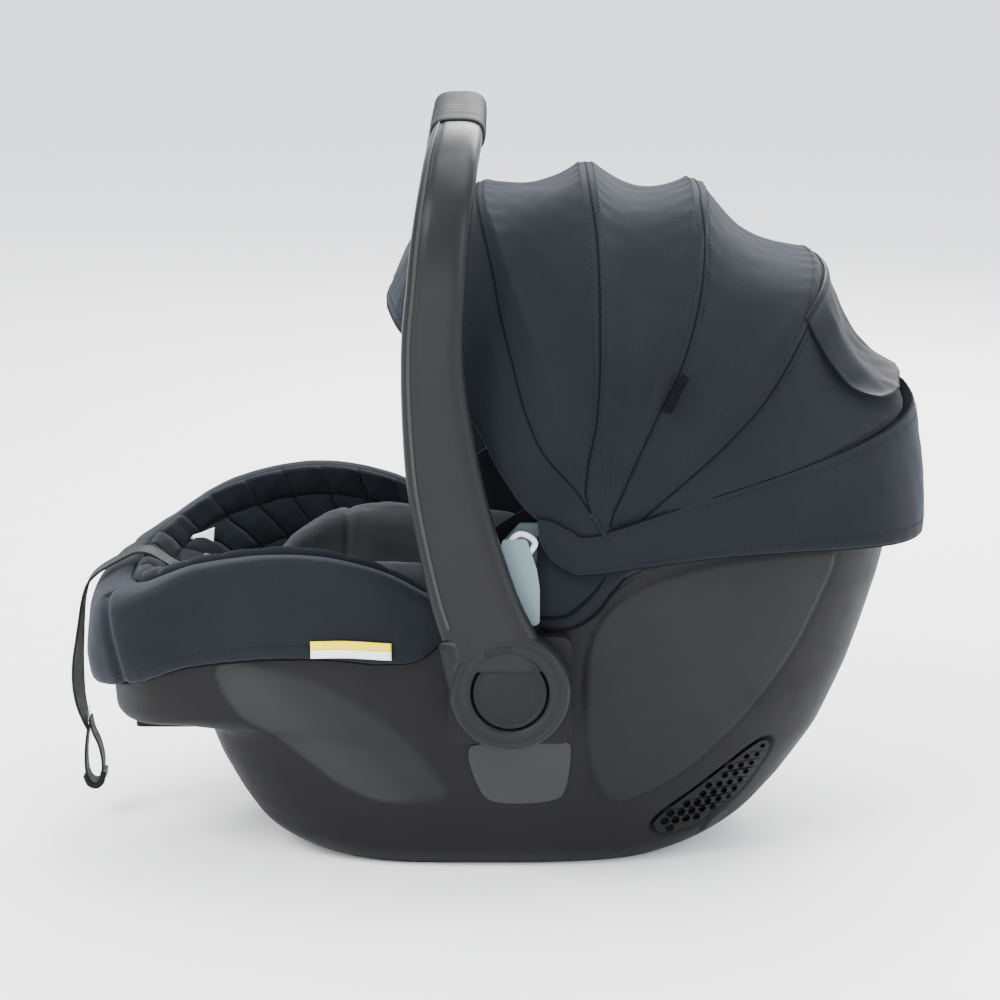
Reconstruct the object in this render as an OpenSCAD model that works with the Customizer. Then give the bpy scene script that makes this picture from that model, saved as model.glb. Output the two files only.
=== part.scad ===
// Rear-facing infant car seat (carry capsule) with a turning carry handle and a folding canopy.
// Origin: centre of the footprint, on the floor. +X runs to the head end, +Z is up.

/* [Seat shell] */
// X of the shell's foot end at its widest level
shell_foot_x = -318; // [-326:1:-310]
// X of the shell's head end at the rim
shell_head_x = 316; // [310:1:318]
// Half width of the shell at the rim
shell_half_w = 176; // [172:1:177]
// Wall of the moulded shell
shell_wall = 3; // [2:0.5:3]
// Height of the lowest point of the seat floor, under the foam
tub_floor_z = 42; // [36:1:46]

/* [Carry handle] */
// X of the handle's turning axis
hub_x = 2.5; // [0:0.5:5]
// Height of the handle's turning axis
hub_z = 173; // [170:1:176]
// Radius of the round handle hubs
hub_r = 46; // [44:1:48]
// Radius of the release buttons
button_r = 28.5; // [26:0.5:29]
// Inner face of the handle legs, measured from the middle of the seat
leg_in_y = 197; // [196:0.5:199]
// Thickness of a handle leg
leg_t = 24; // [22:1:24]
// Height of the middle of the carry bar
bar_z = 580; // [576:1:584]

/* [Canopy] */
// X of the canopy's pivot
pivot_x = 77; // [74:1:80]
// Height of the canopy's pivot
pivot_z = 285; // [282:1:288]
// Radius of the fixed canopy band
band_r = 249; // [247:1:250]
// Half width of the fixed canopy band
band_half_w = 183; // [182.5:0.5:183.5]
// Step in radius between one fabric gore and the next
gore_step_r = 3; // [2.8:0.1:3.2]
// Step in half width between one fabric gore and the next
gore_step_w = 2.6; // [2.5:0.1:2.7]
// Thickness of the canopy fabric with its lining
gore_t = 2.1; // [1.6:0.1:2.2]
// Rear gap that the fold leaves between two bows, in degrees
fold_gap = 7; // [6:0.5:8]

/* [Harness] */
// Width of the webbing
web_w = 24; // [20:1:26]
// Thickness of the webbing
web_t = 2.2; // [1.6:0.1:2.4]

/* [Hidden] */

seg = 48;                 // columns around the lofted shell, tub and cover
plan_n_foot = 3.2;        // squareness of the plan at the foot end
plan_n_head = 2.6;        // squareness of the plan at the head end
clear = 0.4;              // gap between neighbouring pieces

// Rim height along the seat: foot end, hump, dip at the hub, rise to the head
RIM = [[-330, 203], [-290, 222], [-240, 248], [-165, 262], [-100, 251], [-45, 224], [5, 213],
    [55, 230], [110, 266], [180, 300], [250, 322], [330, 333]];

// Outer shell levels: share of the local height, foot X, head X, half width
SHELL = [[0, -186, 165, 108], [0.02, -196, 186, 116], [0.06, -204, 204, 124],
    [0.15, -216, 226, 132], [0.29, -232, 254, 141], [0.42, -243, 271, 148],
    [0.46, -250, 276, 150], [0.48, -276, 278, 151.5], [0.53, -309, 283, 154],
    [0.57, -316, 288, 156.5], [0.68, shell_foot_x, 300, 162], [0.80, shell_foot_x, 309, 168],
    [0.90, -317, 314, 172.5], [1, -316, shell_head_x, shell_half_w]];

// Inner tub levels, in the same form
TUB = [[0, -60, 50, 70], [0.06, -88, 86, 104], [0.15, -114, 118, 122], [0.30, -152, 160, 137],
    [0.50, -206, 215, 149], [0.70, -256, 258, 158.5], [0.87, -294, 288, 165],
    [1, -312.6, 312.6, shell_half_w - shell_wall - clear]];

// Lower hem of the cover, as a share of the shell's height, along the seat
HEM = [[-330, 0.66], [-300, 0.69], [-250, 0.73], [-160, 0.725], [-90, 0.75], [-55, 0.81],
    [-42, 0.97], [50, 0.965], [62, 0.93], [90, 0.86], [160, 0.80], [330, 0.74]];

// Padding of the cover over the shell, along the seat
BORDER_T = [[-330, 22], [-300, 17], [-240, 12], [-160, 9.5], [-60, 8], [-40, 5], [60, 4], [330, 2.6]];

// Carry handle centreline, from a hub to the middle of the bar: Y, Z, X, width
LEG = [[leg_in_y + leg_t / 2, 190, -5, 80], [leg_in_y + leg_t / 2, 212, -12, 74],
    [leg_in_y + leg_t / 2, 243, -24, 68], [leg_in_y + leg_t / 2, 290, -37, 62],
    [leg_in_y + leg_t / 2, 330, -45.5, 58], [leg_in_y + leg_t / 2, 370, -51, 53],
    [leg_in_y + leg_t / 2, 411, -54.5, 48], [leg_in_y + leg_t / 2, 445, -54.7, 46],
    [208.5, 479, -52, 44.5], [204.5, 505, -50, 43.5], [196, 530, -47, 42.5], [180, 550, -44, 41.5],
    [157, 565, -41.5, 40.5], [128, 574.5, -39, 39.5], [100, 578.5, -37.5, 38.5], [64, bar_z, -37, 38],
    [30, bar_z, -37, 38], [0, bar_z, -37, 38]];
bar_t = 24;               // thickness of the bar at its middle
leg_sides = 16;
grip_from = 14;           // the grip sleeve covers the stations from this one to the middle
grip_t = 2;

// Canopy bows: angle from +X about the pivot, front to rear, and the band's upper edge
BOW_A = [112.5, 93, 73, 47];
band_a = 18;
visor_a = 137.6;
visor_r = 232;
gore_lap = 1.5;
canopy_n = 2.8;
pin_r = 3;
bow_w = 12;
bow_t = 2.1;
bow_pitch = 2.4;
bow_inset = 0.15;        // the arms are this much thinner on each face than the pivot rings
bow_out_w = 180.4;

// Adjuster strap's route in the middle plane: X and Z
STRAP = [[-266, 222], [-278, 227], [-289, 231], [-300, 230.5], [-311, 225.5], [-322, 219.5],
    [-332, 213], [-340, 204], [-344.5, 190],
    [-347, 173], [-348.5, 156], [-350, 138], [-351, 119], [-351, 100], [-349, 82], [-346, 66],
    [-343, 52]];
strap_ring_z = 33;        // lower end of the sewn loop

function lerp(a, b, f) = a + (b - a) * f;
function ease(f) = (1 - cos(180 * f)) / 2;
function row_at(table, x) = min(len(table) - 2,
    len([for (i = [1:len(table) - 1]) if (table[i][0] <= x) 1]));
// Value of a table at x, with straight lines between its rows
function straight(table, x, col = 1) = let (i = row_at(table, x),
    f = (x - table[i][0]) / (table[i + 1][0] - table[i][0]))
    lerp(table[i][col], table[i + 1][col], max(0, min(1, f)));
function slope(table, i) = let (a = max(0, i - 1), b = min(len(table) - 1, i + 1))
    (table[b][1] - table[a][1]) / (table[b][0] - table[a][0]);
// Value of a table at x, on a smooth curve through its rows
function curve(table, x) = let (i = row_at(table, x), w = table[i + 1][0] - table[i][0],
    f = max(0, min(1, (x - table[i][0]) / w)), g = f * f, h = g * f)
    (2 * h - 3 * g + 1) * table[i][1] + (h - 2 * g + f) * w * slope(table, i)
    + (3 * g - 2 * h) * table[i + 1][1] + (h - g) * w * slope(table, i + 1);
function spow(v, e) = sign(v) * pow(abs(v), e);
function rim(x) = curve(RIM, x);
rocker_flat = 78;         // half length of the flat that the seat stands on
rocker_mid = 5;
rocker_foot_r = 420;
rocker_head_r = 300;
function rocker(x) = let (d = abs(x - rocker_mid) - rocker_flat)
    d <= 0 ? 0 : d * d / 2 / (x < rocker_mid ? rocker_foot_r : rocker_head_r);
// Plan point of column k on a rounded outline
function plan(k, foot, head, half_w) = let (a = 360 * k / seg, e = 2 / (cos(a) < 0 ? plan_n_foot
    : plan_n_head)) [(foot + head) / 2 + (head - foot) / 2 * spow(cos(a), e), half_w * spow(sin(a), e)];
function shell_pt(k, t, out = 0, up = 0) = let (
    p = plan(k, straight(SHELL, t, 1) - out, straight(SHELL, t, 2) + out, straight(SHELL, t, 3) + out),
    low = rocker(p[0]) + clear) [p[0], p[1], low * pow(1 - t, 6) + rim(p[0]) * t + up];
function shell_ring(t, out = 0, up = 0) = [for (k = [0:seg - 1]) shell_pt(k, t, out, up)];
function tub_ring(row, inset, lift) = [for (k = [0:seg - 1]) let (
    p = plan(k, row[1] + inset, row[2] - inset, row[3] - inset), low = tub_floor_z + inset)
    [p[0], p[1], lerp(low, rim(p[0]) + lift, row[0])]];
function flat_list(a) = [for (r = a) each r];
function quad(a, b, c, d) = [[a, b, c], [a, c, d]];

// Solid through rings of equal length; wrap joins the last ring to the first, or both are capped
module loft(rings, wrap = false) {
    n = len(rings[0]);
    m = len(rings);
    sides = [for (i = [0:m - (wrap ? 1 : 2)], k = [0:n - 1]) let (j = (i + 1) % m, l = (k + 1) % n)
        each quad(i * n + k, j * n + k, j * n + l, i * n + l)];
    caps = wrap ? [] : [[for (k = [0:n - 1]) k], [for (k = [n - 1:-1:0]) (m - 1) * n + k]];
    polyhedron(flat_list(rings), concat(sides, caps), convexity = 10);
}

// Solid through curved rings that double back on themselves: the ends are closed by strips across them.
// tips is 0 for an open double row, or 1 where the ring starts and turns at a single point.
module folded(rings, tips = 0) {
    n = len(rings[0]);
    m = len(rings);
    last = (m - 1) * n;
    sides = [for (i = [0:m - 2], k = [0:n - 1]) let (l = (k + 1) % n)
        each quad(i * n + k, (i + 1) * n + k, (i + 1) * n + l, i * n + l)];
    half = n / 2;
    strip = tips == 0 ? [for (k = [0:half - 2]) each quad(k, k + 1, n - 2 - k, n - 1 - k)]
        : concat([[0, 1, n - 1]], [for (k = [1:half - 2]) each quad(k, k + 1, n - k - 1, n - k)],
            [[half - 1, half, half + 1]]);
    polyhedron(flat_list(rings), concat(sides, strip, [for (f = strip) [f[2] + last, f[1] + last, f[0] + last]]),
        convexity = 10);
}

// Thin solid between two grids of equal size
module sheet(outer, inner) {
    m = len(outer);
    n = len(outer[0]);
    folded([for (i = [0:m - 1]) concat(outer[i], [for (j = [n - 1:-1:0]) inner[i][j]])]);
}

function reversed(a) = [for (i = [len(a) - 1:-1:0]) a[i]];
module outer_and_inner(side) { for (m = side) mirror([0, m < 0 ? 1 : 0, 0]) children(); }

/* Seat body */
module outer_shell() color("#424244") {
    levels = [for (r = SHELL) r[0]];
    loft(concat([for (t = reversed(levels)) shell_ring(t)],
        [for (t = levels) shell_ring(t, -shell_wall)]), wrap = true);
}

base_t = 16;
base_foot = -182;
base_head = 161;
base_half_w = 104;
bar_x = [-128, 104];
bar_r = 5;
bar_half_l = 82;
bar_slot_half = 68;
bar_up = 11.5;
module rocker_base() color("#3c3c3e") difference() {
    linear_extrude(base_t + 24) polygon([for (k = [0:seg - 1]) plan(k, base_foot, base_head, base_half_w)]);
    rotate([90, 0, 0]) linear_extrude(400, center = true) polygon(concat(
        [for (x = [-200:10:180]) [x, rocker(x) - 0.01]], [[180, -20], [-200, -20]]));
    rotate([90, 0, 0]) linear_extrude(400, center = true) polygon(concat(
        [for (x = [-200:10:180]) [x, rocker(x) + base_t]], [[180, 80], [-200, 80]]));
    for (x = bar_x) {
        translate([x, 0, 0]) cube([26, 2 * bar_slot_half, 80], center = true);
        translate([x, 0, rocker(x) + bar_up - 3.3]) rotate([90, 0, 0])
            cylinder(r = bar_r + 0.05, h = 2 * bar_half_l + 1, center = true, $fn = 48);
    }
    for (x = [-55, 65], y = [-78, 78]) translate([x, y, -1]) cylinder(r = 11.3, h = 5, $fn = 48);
}
module latch_bars() color("#b8b8bc") for (x = bar_x)
    translate([x, 0, rocker(x) + bar_up - 3.3]) rotate([90, 0, 0])
        cylinder(r = bar_r, h = 2 * bar_half_l, center = true, $fn = 48);
module rubber_feet() color("#1c1c1e") for (x = [-55, 65], y = [-78, 78])
    translate([x, y, 0]) cylinder(r = 11, h = 3.8, $fn = 48);

module tub_layer(from, to, lift_out, lift_in) loft(concat(
    [for (r = TUB) tub_ring(r, to, lift_in)], reversed([for (r = TUB) tub_ring(r, from, lift_out)])));
module inner_bucket() color("#8c8f93") tub_layer(0, 2.5, 0, 0);
module foam_liner() color("#e8e8ea") tub_layer(2.9, 13, 0, 0);
module seat_pad() color("#2b2f36") tub_layer(13.4, 25, 3, 4);

function border_t(x) = straight(BORDER_T, x);
// Closed cross-section of the cover at column k: hem, outside, roll over the rim, back down the shell
border_steps = 4;
border_top = 5.4;
lip_in = 12.6;
function border_loop(k) = let (x = shell_pt(k, 1)[0], t0 = straight(HEM, x), th = border_t(x),
    out = [for (i = [0:border_steps]) let (f = i / border_steps) shell_pt(k, lerp(t0, 1, f),
        th * (i == 0 ? 0.55 : i == border_steps ? 0.8 : 1))],
    over = [shell_pt(k, 1, th * 0.45, border_top * 0.75), shell_pt(k, 1, 0, border_top),
        shell_pt(k, 1, -lip_in / 2, border_top), shell_pt(k, 1, -lip_in, border_top * 0.7),
        shell_pt(k, 1, -lip_in, clear), shell_pt(k, 1, 0.9, clear)],
    back = [for (i = [border_steps - 1:-1:0]) shell_pt(k, lerp(t0, 1, i / border_steps), 0.9)])
    concat(out, over, back);
module cover_border() color("#2f353d") loft([for (k = [0:seg - 1]) border_loop(k)], wrap = true);

// Pads inside the tub
// Insert's sections along the seat: X, half width, height of its side tips, height of its underside
INSERT = [[-190, 66, 206, 176], [-176, 86, 220, 166], [-145, 106, 234, 142], [-105, 115, 239, 110],
    [-60, 117, 237, 82], [-25, 117, 233, 73], [20, 115, 226, 73], [46, 108, 216, 79], [60, 96, 204, 88]];
insert_side_t = 32;
insert_base_t = 16;
insert_b = [0:15:180];
function insert_loop(p) = concat(
    [[p[0], p[1] - insert_side_t / 2, p[2] + 9]],
    [for (b = insert_b) [p[0], p[1] * cos(b), p[3] + (p[2] - p[3]) * (1 - sin(b))]],
    [[p[0], insert_side_t / 2 - p[1], p[2] + 9]],
    [for (b = reversed([for (c = insert_b) c])) [p[0], (p[1] - insert_side_t) * cos(b),
        p[3] + insert_base_t + (p[2] - p[3] - insert_base_t - 2) * (1 - sin(b))]]);
module seat_insert() color("#33363b") folded(reversed([for (p = INSERT) insert_loop(p)]), tips = 1);
module head_pillow() color("#33363b") translate([256.5, 0, 324.7]) rotate([0, -55, 0]) difference() {
    linear_extrude(26, center = true) offset(r = 18) square([34, 136], center = true);
    translate([-22, 0, 16]) linear_extrude(30, center = true) offset(r = 18) square([50, 60], center = true);
}

/* Side fittings */
function patch(cols, levels, out) = [for (t = levels) [for (k = cols) shell_pt(k, t, out)]];
grille_levels = [0.10, 0.15, 0.22, 0.29, 0.34];
grille_cols = 7;
grille_rows = 4;
module vent_grille(side) color("#1f1f21") mirror([0, side < 0 ? 1 : 0, 0]) difference() {
    loft([for (i = [0:len(grille_levels) - 1]) concat(patch([4:9], grille_levels, clear)[i],
        reversed(patch([4:9], grille_levels, 1.9)[i]))]);
    for (i = [0:grille_cols - 1], j = [0:grille_rows - 1]) let (x = 121 + i * 11 + j * 5.5,
        z = 36 + j * 13, r = 3.9 - 0.2 * i - 0.35 * j) if (x < 202 && z > 30 + (x - 118) * 0.16)
        translate([x, 60, z]) rotate([-90, 0, 0]) cylinder(r = max(r, 1.8), h = 90, $fn = 6);
}
label_tilt = 13.5;
module side_label(side) color("#505254") mirror([0, side < 0 ? 1 : 0, 0])
    translate([8, 149.6, 89]) rotate([-label_tilt, 0, 0]) rotate([90, 0, 0])
        linear_extrude(1.2, center = true) offset(r = 5) offset(r = -5)
            polygon([[-42, 26], [42, 26], [42, -26], [-20, -26]]);
module warning_label(side) color("#e6d534") mirror([0, side < 0 ? 1 : 0, 0])
    translate([-119, 174.2, 197]) rotate([-11, 0, 2.8])
        cube([62, 0.8, 16], center = true);
module care_label() color("#f2f2f2") translate([-250, 74, 226]) rotate([0, -28, 40])
    cube([34, 26, 0.9], center = true);

plate_out = leg_in_y - 1;
axle_r = 9;
module hub_housing(side) color("#3a3a3c") mirror([0, side < 0 ? 1 : 0, 0]) difference() {
    intersection() {
        translate([hub_x, 0, 0]) rotate([90, 0, 90]) linear_extrude(96, center = true)
            polygon([[180, 211], [plate_out, 211], [plate_out, 126], [160.5, 126]]);
        translate([hub_x, 300, hub_z - 4.5]) rotate([90, 0, 0]) linear_extrude(300)
            offset(r = 8) square([78, 68], center = true);
    }
    translate([hub_x, 100, hub_z]) rotate([-90, 0, 0]) cylinder(r = axle_r + 0.05, h = 120, $fn = 64);
    translate([hub_x, 180, 136]) cube([44, 12, 36], center = true);
}
module hub_axle(side) color("#a8a8ac") mirror([0, side < 0 ? 1 : 0, 0])
    translate([hub_x, 0, hub_z]) rotate([-90, 0, 0]) {
        translate([0, 0, 180.5]) cylinder(r = axle_r, h = 24, $fn = 64);
        translate([0, 0, 204.4]) cylinder(r = 12, h = 2.8, $fn = 64);
    }
hub_out = leg_in_y + leg_t;
module handle_hub(side) color("#3b3d3f") mirror([0, side < 0 ? 1 : 0, 0])
    translate([hub_x, 0, hub_z]) rotate([-90, 0, 0]) rotate_extrude($fn = 96)
        polygon([[axle_r + 0.06, leg_in_y], [hub_r - 2, leg_in_y], [hub_r, leg_in_y + 2],
            [hub_r, hub_out - 5], [hub_r - 4, hub_out], [button_r + 3, hub_out],
            [button_r + 0.5, hub_out - 2], [button_r + 0.5, 204], [axle_r + 0.06, 204]]);
button_in = 213.4;
gear_teeth = 10;
module release_button(side) color("#2c2c2e") mirror([0, side < 0 ? 1 : 0, 0])
    translate([hub_x, 0, hub_z]) rotate([-90, 0, 0]) {
        translate([0, 0, button_in]) rotate_extrude($fn = 96)
            polygon([[0, 0], [button_r, 0], [button_r, 4.4], [button_r - 1.6, 6], [0, 6.4]]);
        translate([0, 0, 208.4]) linear_extrude(5.2) difference() {
            circle(r = 24, $fn = 64);
            circle(r = 13, $fn = 64);
            for (i = [0:gear_teeth - 1]) rotate(36 * i) translate([25, 0]) circle(r = 3.2, $fn = 24);
        }
    }
spring_turns = 4;
module button_spring(side) color("#c8c8cc") mirror([0, side < 0 ? 1 : 0, 0])
    translate([hub_x, 0, hub_z]) rotate([-90, 0, 0]) for (i = [0:spring_turns - 1])
        translate([0, 0, 208.1 + i * 1.45]) rotate_extrude($fn = 48) translate([7.5, 0]) circle(r = 0.7, $fn = 16);

// Vehicle belt guide: an outer cheek, an inner cheek and a saddle over the rim
guide_z = 223.5;
module belt_guide(side) color("#82939a") mirror([0, side < 0 ? 1 : 0, 0]) {
    translate([0, 195.4, 0]) rotate([90, 0, 0]) linear_extrude(4.4) offset(r = 4) offset(r = -4)
        polygon([[-8, 234], [-8, 266], [-3, 286], [15, 287], [23, 262], [25, 248], [25, 219.6], [9, 219.6]]);
    translate([0, 166, 0]) rotate([90, 0, 0]) linear_extrude(4) offset(r = 4) offset(r = -4)
        polygon([[-6, guide_z], [-2, 278], [10, 292], [28, 292], [32, 280], [25, guide_z]]);
    translate([7, 162, guide_z]) cube([16, 33.4, 6]);
}

/* Carry handle */
function leg_dir(i, pts) = let (a = pts[max(0, i - 1)], b = pts[min(len(pts) - 1, i + 1)],
    d = [b[0] - a[0], b[1] - a[1]]) d / norm(d);
bow_pts = concat(LEG, [for (i = [len(LEG) - 2:-1:0]) [-LEG[i][0], LEG[i][1], LEG[i][2], LEG[i][3]]]);
function bow_ring(i, grow) = let (p = bow_pts[i], d = leg_dir(i, bow_pts), nrm = [-d[1], d[0]],
    th = lerp(bar_t, leg_t, min(1, abs(p[0]) / leg_in_y)))
    [for (k = [0:leg_sides - 1]) let (a = 360 * k / leg_sides, u = (p[3] / 2 + grow) * spow(cos(a), 0.68),
        v = (th / 2 + grow) * spow(sin(a), 0.68)) [p[2] + u, p[0] + nrm[0] * v, p[1] + nrm[1] * v]];
module handle_bow() color("#46484b") difference() {
    loft(reversed([for (i = [0:len(bow_pts) - 1]) bow_ring(i, 0)]));
    for (s = [0, 1]) mirror([0, s, 0]) translate([hub_x, 203.9, hub_z]) rotate([-90, 0, 0])
        cylinder(r = button_r + 0.6, h = 30, $fn = 96);
}
module grip_sleeve() color("#828284") {
    span = [grip_from:len(bow_pts) - 1 - grip_from];
    loft(concat([for (i = reversed([for (j = span) j])) bow_ring(i, grip_t)],
        [for (i = span) bow_ring(i, 0.15)]), wrap = true);
}

/* Canopy */
// Point on the canopy: angle about the pivot, arch angle from one side to the other
function dome(a, b, r, w) = let (q = r * spow(sin(b), 2 / canopy_n), y = w * spow(cos(b), 2 / canopy_n))
    [pivot_x + q * cos(a), y, pivot_z + q * sin(a)];
arch_a = concat([for (b = [1.2, 3.5]) b], [for (b = [8:8:172]) b], [176.5, 178.8]);
gore_r = [for (i = [4:-1:1]) band_r + gore_step_r * i];
gore_w = [for (i = [4:-1:1]) band_half_w + gore_step_w * i];
function gore_end(i) = i < 3 ? BOW_A[i + 1] - gore_lap : band_a - gore_lap;
function visor_in(a) = a <= BOW_A[0] ? 0 : (gore_r[0] - visor_r)
    * pow((a - BOW_A[0]) / (visor_a - BOW_A[0]), 1.8);
function gore_angles(i) = let (a0 = gore_end(i), a1 = i == 0 ? visor_a : BOW_A[i], n = i == 0 ? 9 : 6)
    [for (j = [0:n]) lerp(a0, a1, j / n)];
module canopy_gore(i) color("#2d333b") sheet(
    [for (a = gore_angles(i)) [for (b = arch_a) dome(a, b, gore_r[i] - visor_in(a), gore_w[i])]],
    [for (a = gore_angles(i)) [for (b = arch_a)
        dome(a, b, gore_r[i] - visor_in(a) - gore_t, gore_w[i] - gore_t)]]);
bow_arch = [for (b = [0:6:180]) b];
function bow_curve(r, w) = [for (b = bow_arch) [r * spow(sin(b), 2 / canopy_n), w * spow(cos(b), 2 / canopy_n)]];
module canopy_bow(i) color("#5a5d60") {
    out_w = bow_out_w - bow_pitch * i;
    out_r = gore_r[i] - gore_t - 0.5;
    translate([pivot_x, 0, pivot_z]) difference() {
        union() {
            rotate([0, -BOW_A[i], 0]) translate([0, 0, -bow_w / 2]) linear_extrude(bow_w)
                polygon(concat(bow_curve(out_r, out_w - bow_inset),
                    reversed(bow_curve(out_r - 3, out_w - bow_t + bow_inset))));
            for (s = [-1, 1]) translate([0, s * (out_w - bow_t / 2), 0]) rotate([90, 0, 0])
                cylinder(r = 9, h = bow_t, center = true, $fn = 48);
        }
        rotate([90, 0, 0]) cylinder(r = pin_r + 0.05, h = 500, center = true, $fn = 48);
    }
}
mount_in = 160;
module canopy_mount(side) color("#3a3a3c") mirror([0, side < 0 ? 1 : 0, 0]) {
    translate([pivot_x, 170.9, pivot_z]) rotate([90, 0, 0]) cylinder(r = 12, h = 11, $fn = 64);
    translate([pivot_x - 9, mount_in, rim(pivot_x) + 6]) cube([18, 10.9, pivot_z - rim(pivot_x) - 6]);
    translate([pivot_x, 181, pivot_z]) rotate([90, 0, 0]) cylinder(r = pin_r, h = 12, $fn = 48);
}
// Fixed fabric band: from beside the belt guide round the head end
BAND = [[30, 281, 299], [42, 266, 292], [57, 257, 286], [77, 255, 285]];
function band_low(q) = 255 + 17 * q / band_r;
band_crown = 0.6;
band_rear = [for (b = [8:8:172]) b];
function band_grid(r, w) = let (
    start = [for (p = BAND) [[p[0], w, p[1]], [p[0], w + band_crown, (p[1] + p[2]) / 2], [p[0], w, p[2]]]],
    finish = [for (p = reversed(start)) [for (c = p) [c[0], -c[1], c[2]]]],
    rear = [for (b = band_rear) let (q = r * spow(sin(b), 2 / canopy_n), y = w * spow(cos(b), 2 / canopy_n))
        [[pivot_x + q, y, band_low(q)], [pivot_x + q, y, (band_low(q) + pivot_z + q * 0.13) / 2],
        [pivot_x + q * cos(band_a), y, pivot_z + q * sin(band_a)]]]) concat(start, rear, finish);
module canopy_band() color("#31373f") sheet(band_grid(band_r - gore_t, band_half_w - gore_t),
    band_grid(band_r, band_half_w));

/* Harness */
// Flat webbing through points in a plane of constant Y: X and Z
function web_dir(pts, i) = let (a = pts[max(0, i - 1)], b = pts[min(len(pts) - 1, i + 1)],
    d = [b[0] - a[0], b[1] - a[1]]) d / norm(d);
function web_ring(pts, i, y, w, t) = let (d = web_dir(pts, i), nx = -d[1], nz = d[0])
    [for (c = [[-0.5, -0.3], [-0.4, -0.5], [0.4, -0.5], [0.5, -0.3], [0.5, 0.3], [0.4, 0.5], [-0.4, 0.5],
        [-0.5, 0.3]]) [pts[i][0] + nx * t * c[1], y + w * c[0], pts[i][1] + nz * t * c[1]]];
module webbing(pts, y, w = web_w, t = web_t) loft([for (i = [0:len(pts) - 1]) web_ring(pts, i, y, w, t)]);

SHOULDER = [[262, 270], [247, 280], [231, 257], [190, 197], [136, 140], [95, 106], [58, 101], [20, 99],
    [-15, 112], [-40, 138], [-62, 157]];
CROTCH = [[-82, 104], [-84, 122], [-84, 140]];
module shoulder_strap(side) color("#26282c") webbing(SHOULDER, side * 46);
module shoulder_pad(side) color("#33363b") webbing([for (i = [2:5]) SHOULDER[i] + [-5, 5]], side * 46, 52, 9);
module crotch_strap() color("#26282c") webbing(CROTCH, 0, 30);
module crotch_pad() color("#33363b") webbing([[-77, 104], [-78, 120], [-78, 133]], 0, 50, 7);
buckle_x = -86;
buckle_z = 158;
module buckle_body() color("#2a2a2c") translate([buckle_x, 0, buckle_z]) rotate([0, -8, 0]) difference() {
    rotate([0, 90, 0]) linear_extrude(19, center = true) offset(r = 10) square([24, 34], center = true);
    translate([-12, 0, -2]) rotate([0, 90, 0]) linear_extrude(12) offset(r = 4) square([14.8, 16.8], center = true);
    for (s = [-1, 1]) translate([0, s * 12, 15]) cube([5, 12.6, 24], center = true);
}
module buckle_button() color("#c8252b") translate([buckle_x, 0, buckle_z]) rotate([0, -8, 0])
    translate([-10.4, 0, -2]) rotate([0, 90, 0]) linear_extrude(5.2) offset(r = 4) square([14, 16], center = true);
module buckle_tongue(side) color("#b8b8bc") translate([buckle_x, 0, buckle_z]) rotate([0, -8, 0]) {
    translate([0, side * 12, 14]) cube([2.4, 11, 20], center = true);
    translate([0, side * 22, 27]) difference() {
        cube([2.4, 38, 14], center = true);
        translate([0, side * 2, 2]) cube([5, 27, 4], center = true);
    }
}
module harness_yoke() color("#b0b0b4") translate([212, 0, 112]) rotate([0, -58, 0])
    linear_extrude(3, center = true) difference() {
        offset(r = 6) square([34, 74], center = true);
        for (s = [-1, 1]) translate([8, s * 22]) square([5, 28], center = true);
        translate([-10, 0]) square([5, 30], center = true);
    }

// Front adjuster: housing on the foot end, button, strap and its sewn loop
adj_x = -247.5;
adj_z = 215;
module adjuster_housing() color("#2a2a2c") translate([adj_x, 0, adj_z]) rotate([0, 18, 0]) difference() {
    linear_extrude(13, center = true) offset(r = 6) square([26, 32], center = true);
    translate([6, 0, 6]) linear_extrude(8.2, center = true) offset(r = 3) square([10.8, 22.8], center = true);
    translate([-14, 0, 1.5]) cube([20, web_w + 2, 4.6], center = true);
}
module adjuster_button() color("#4a4a4c") translate([adj_x, 0, adj_z]) rotate([0, 18, 0])
    translate([6, 0, 5.4]) linear_extrude(4.2) offset(r = 3) square([10, 22], center = true);
module adjuster_strap() color("#1c1d20") webbing(STRAP, 0);
module strap_loop() color("#1c1d20") {
    low = STRAP[len(STRAP) - 1];
    webbing([low + [0, -0.4], [low[0] + 1, low[1] - 7], [low[0] + 6, strap_ring_z + 3],
        [low[0] + 9, strap_ring_z]], 0, web_w, 3.4);
}

// Lever under the foot end that lets the seat off its car base
rel_x = -274;
rel_z = 96;
module base_release_housing() color("#3a3a3c") translate([rel_x, 0, rel_z]) difference() {
    translate([0, 0, 6]) linear_extrude(12, center = true) offset(r = 6) square([38, 92], center = true);
    translate([0, 0, 2]) cube([38.8, 84.8, 14], center = true);
    translate([13, 0, 4]) rotate([90, 0, 0]) cylinder(r = 2.03, h = 130, center = true, $fn = 32);
}
module base_release_lever() color("#6a6c6e") translate([rel_x, 0, rel_z]) difference() {
    union() {
        translate([13, 0, 4]) rotate([90, 0, 0]) cylinder(r = 4.5, h = 84, center = true, $fn = 48);
        translate([-2, 0, 2.4]) cube([33, 84, 3], center = true);
    }
    translate([13, 0, 4]) rotate([90, 0, 0]) cylinder(r = 2.07, h = 130, center = true, $fn = 32);
}
module base_release_pin() color("#b8b8bc") translate([rel_x + 13, 0, rel_z + 4]) rotate([90, 0, 0])
    cylinder(r = 2, h = 100, center = true, $fn = 32);

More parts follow.
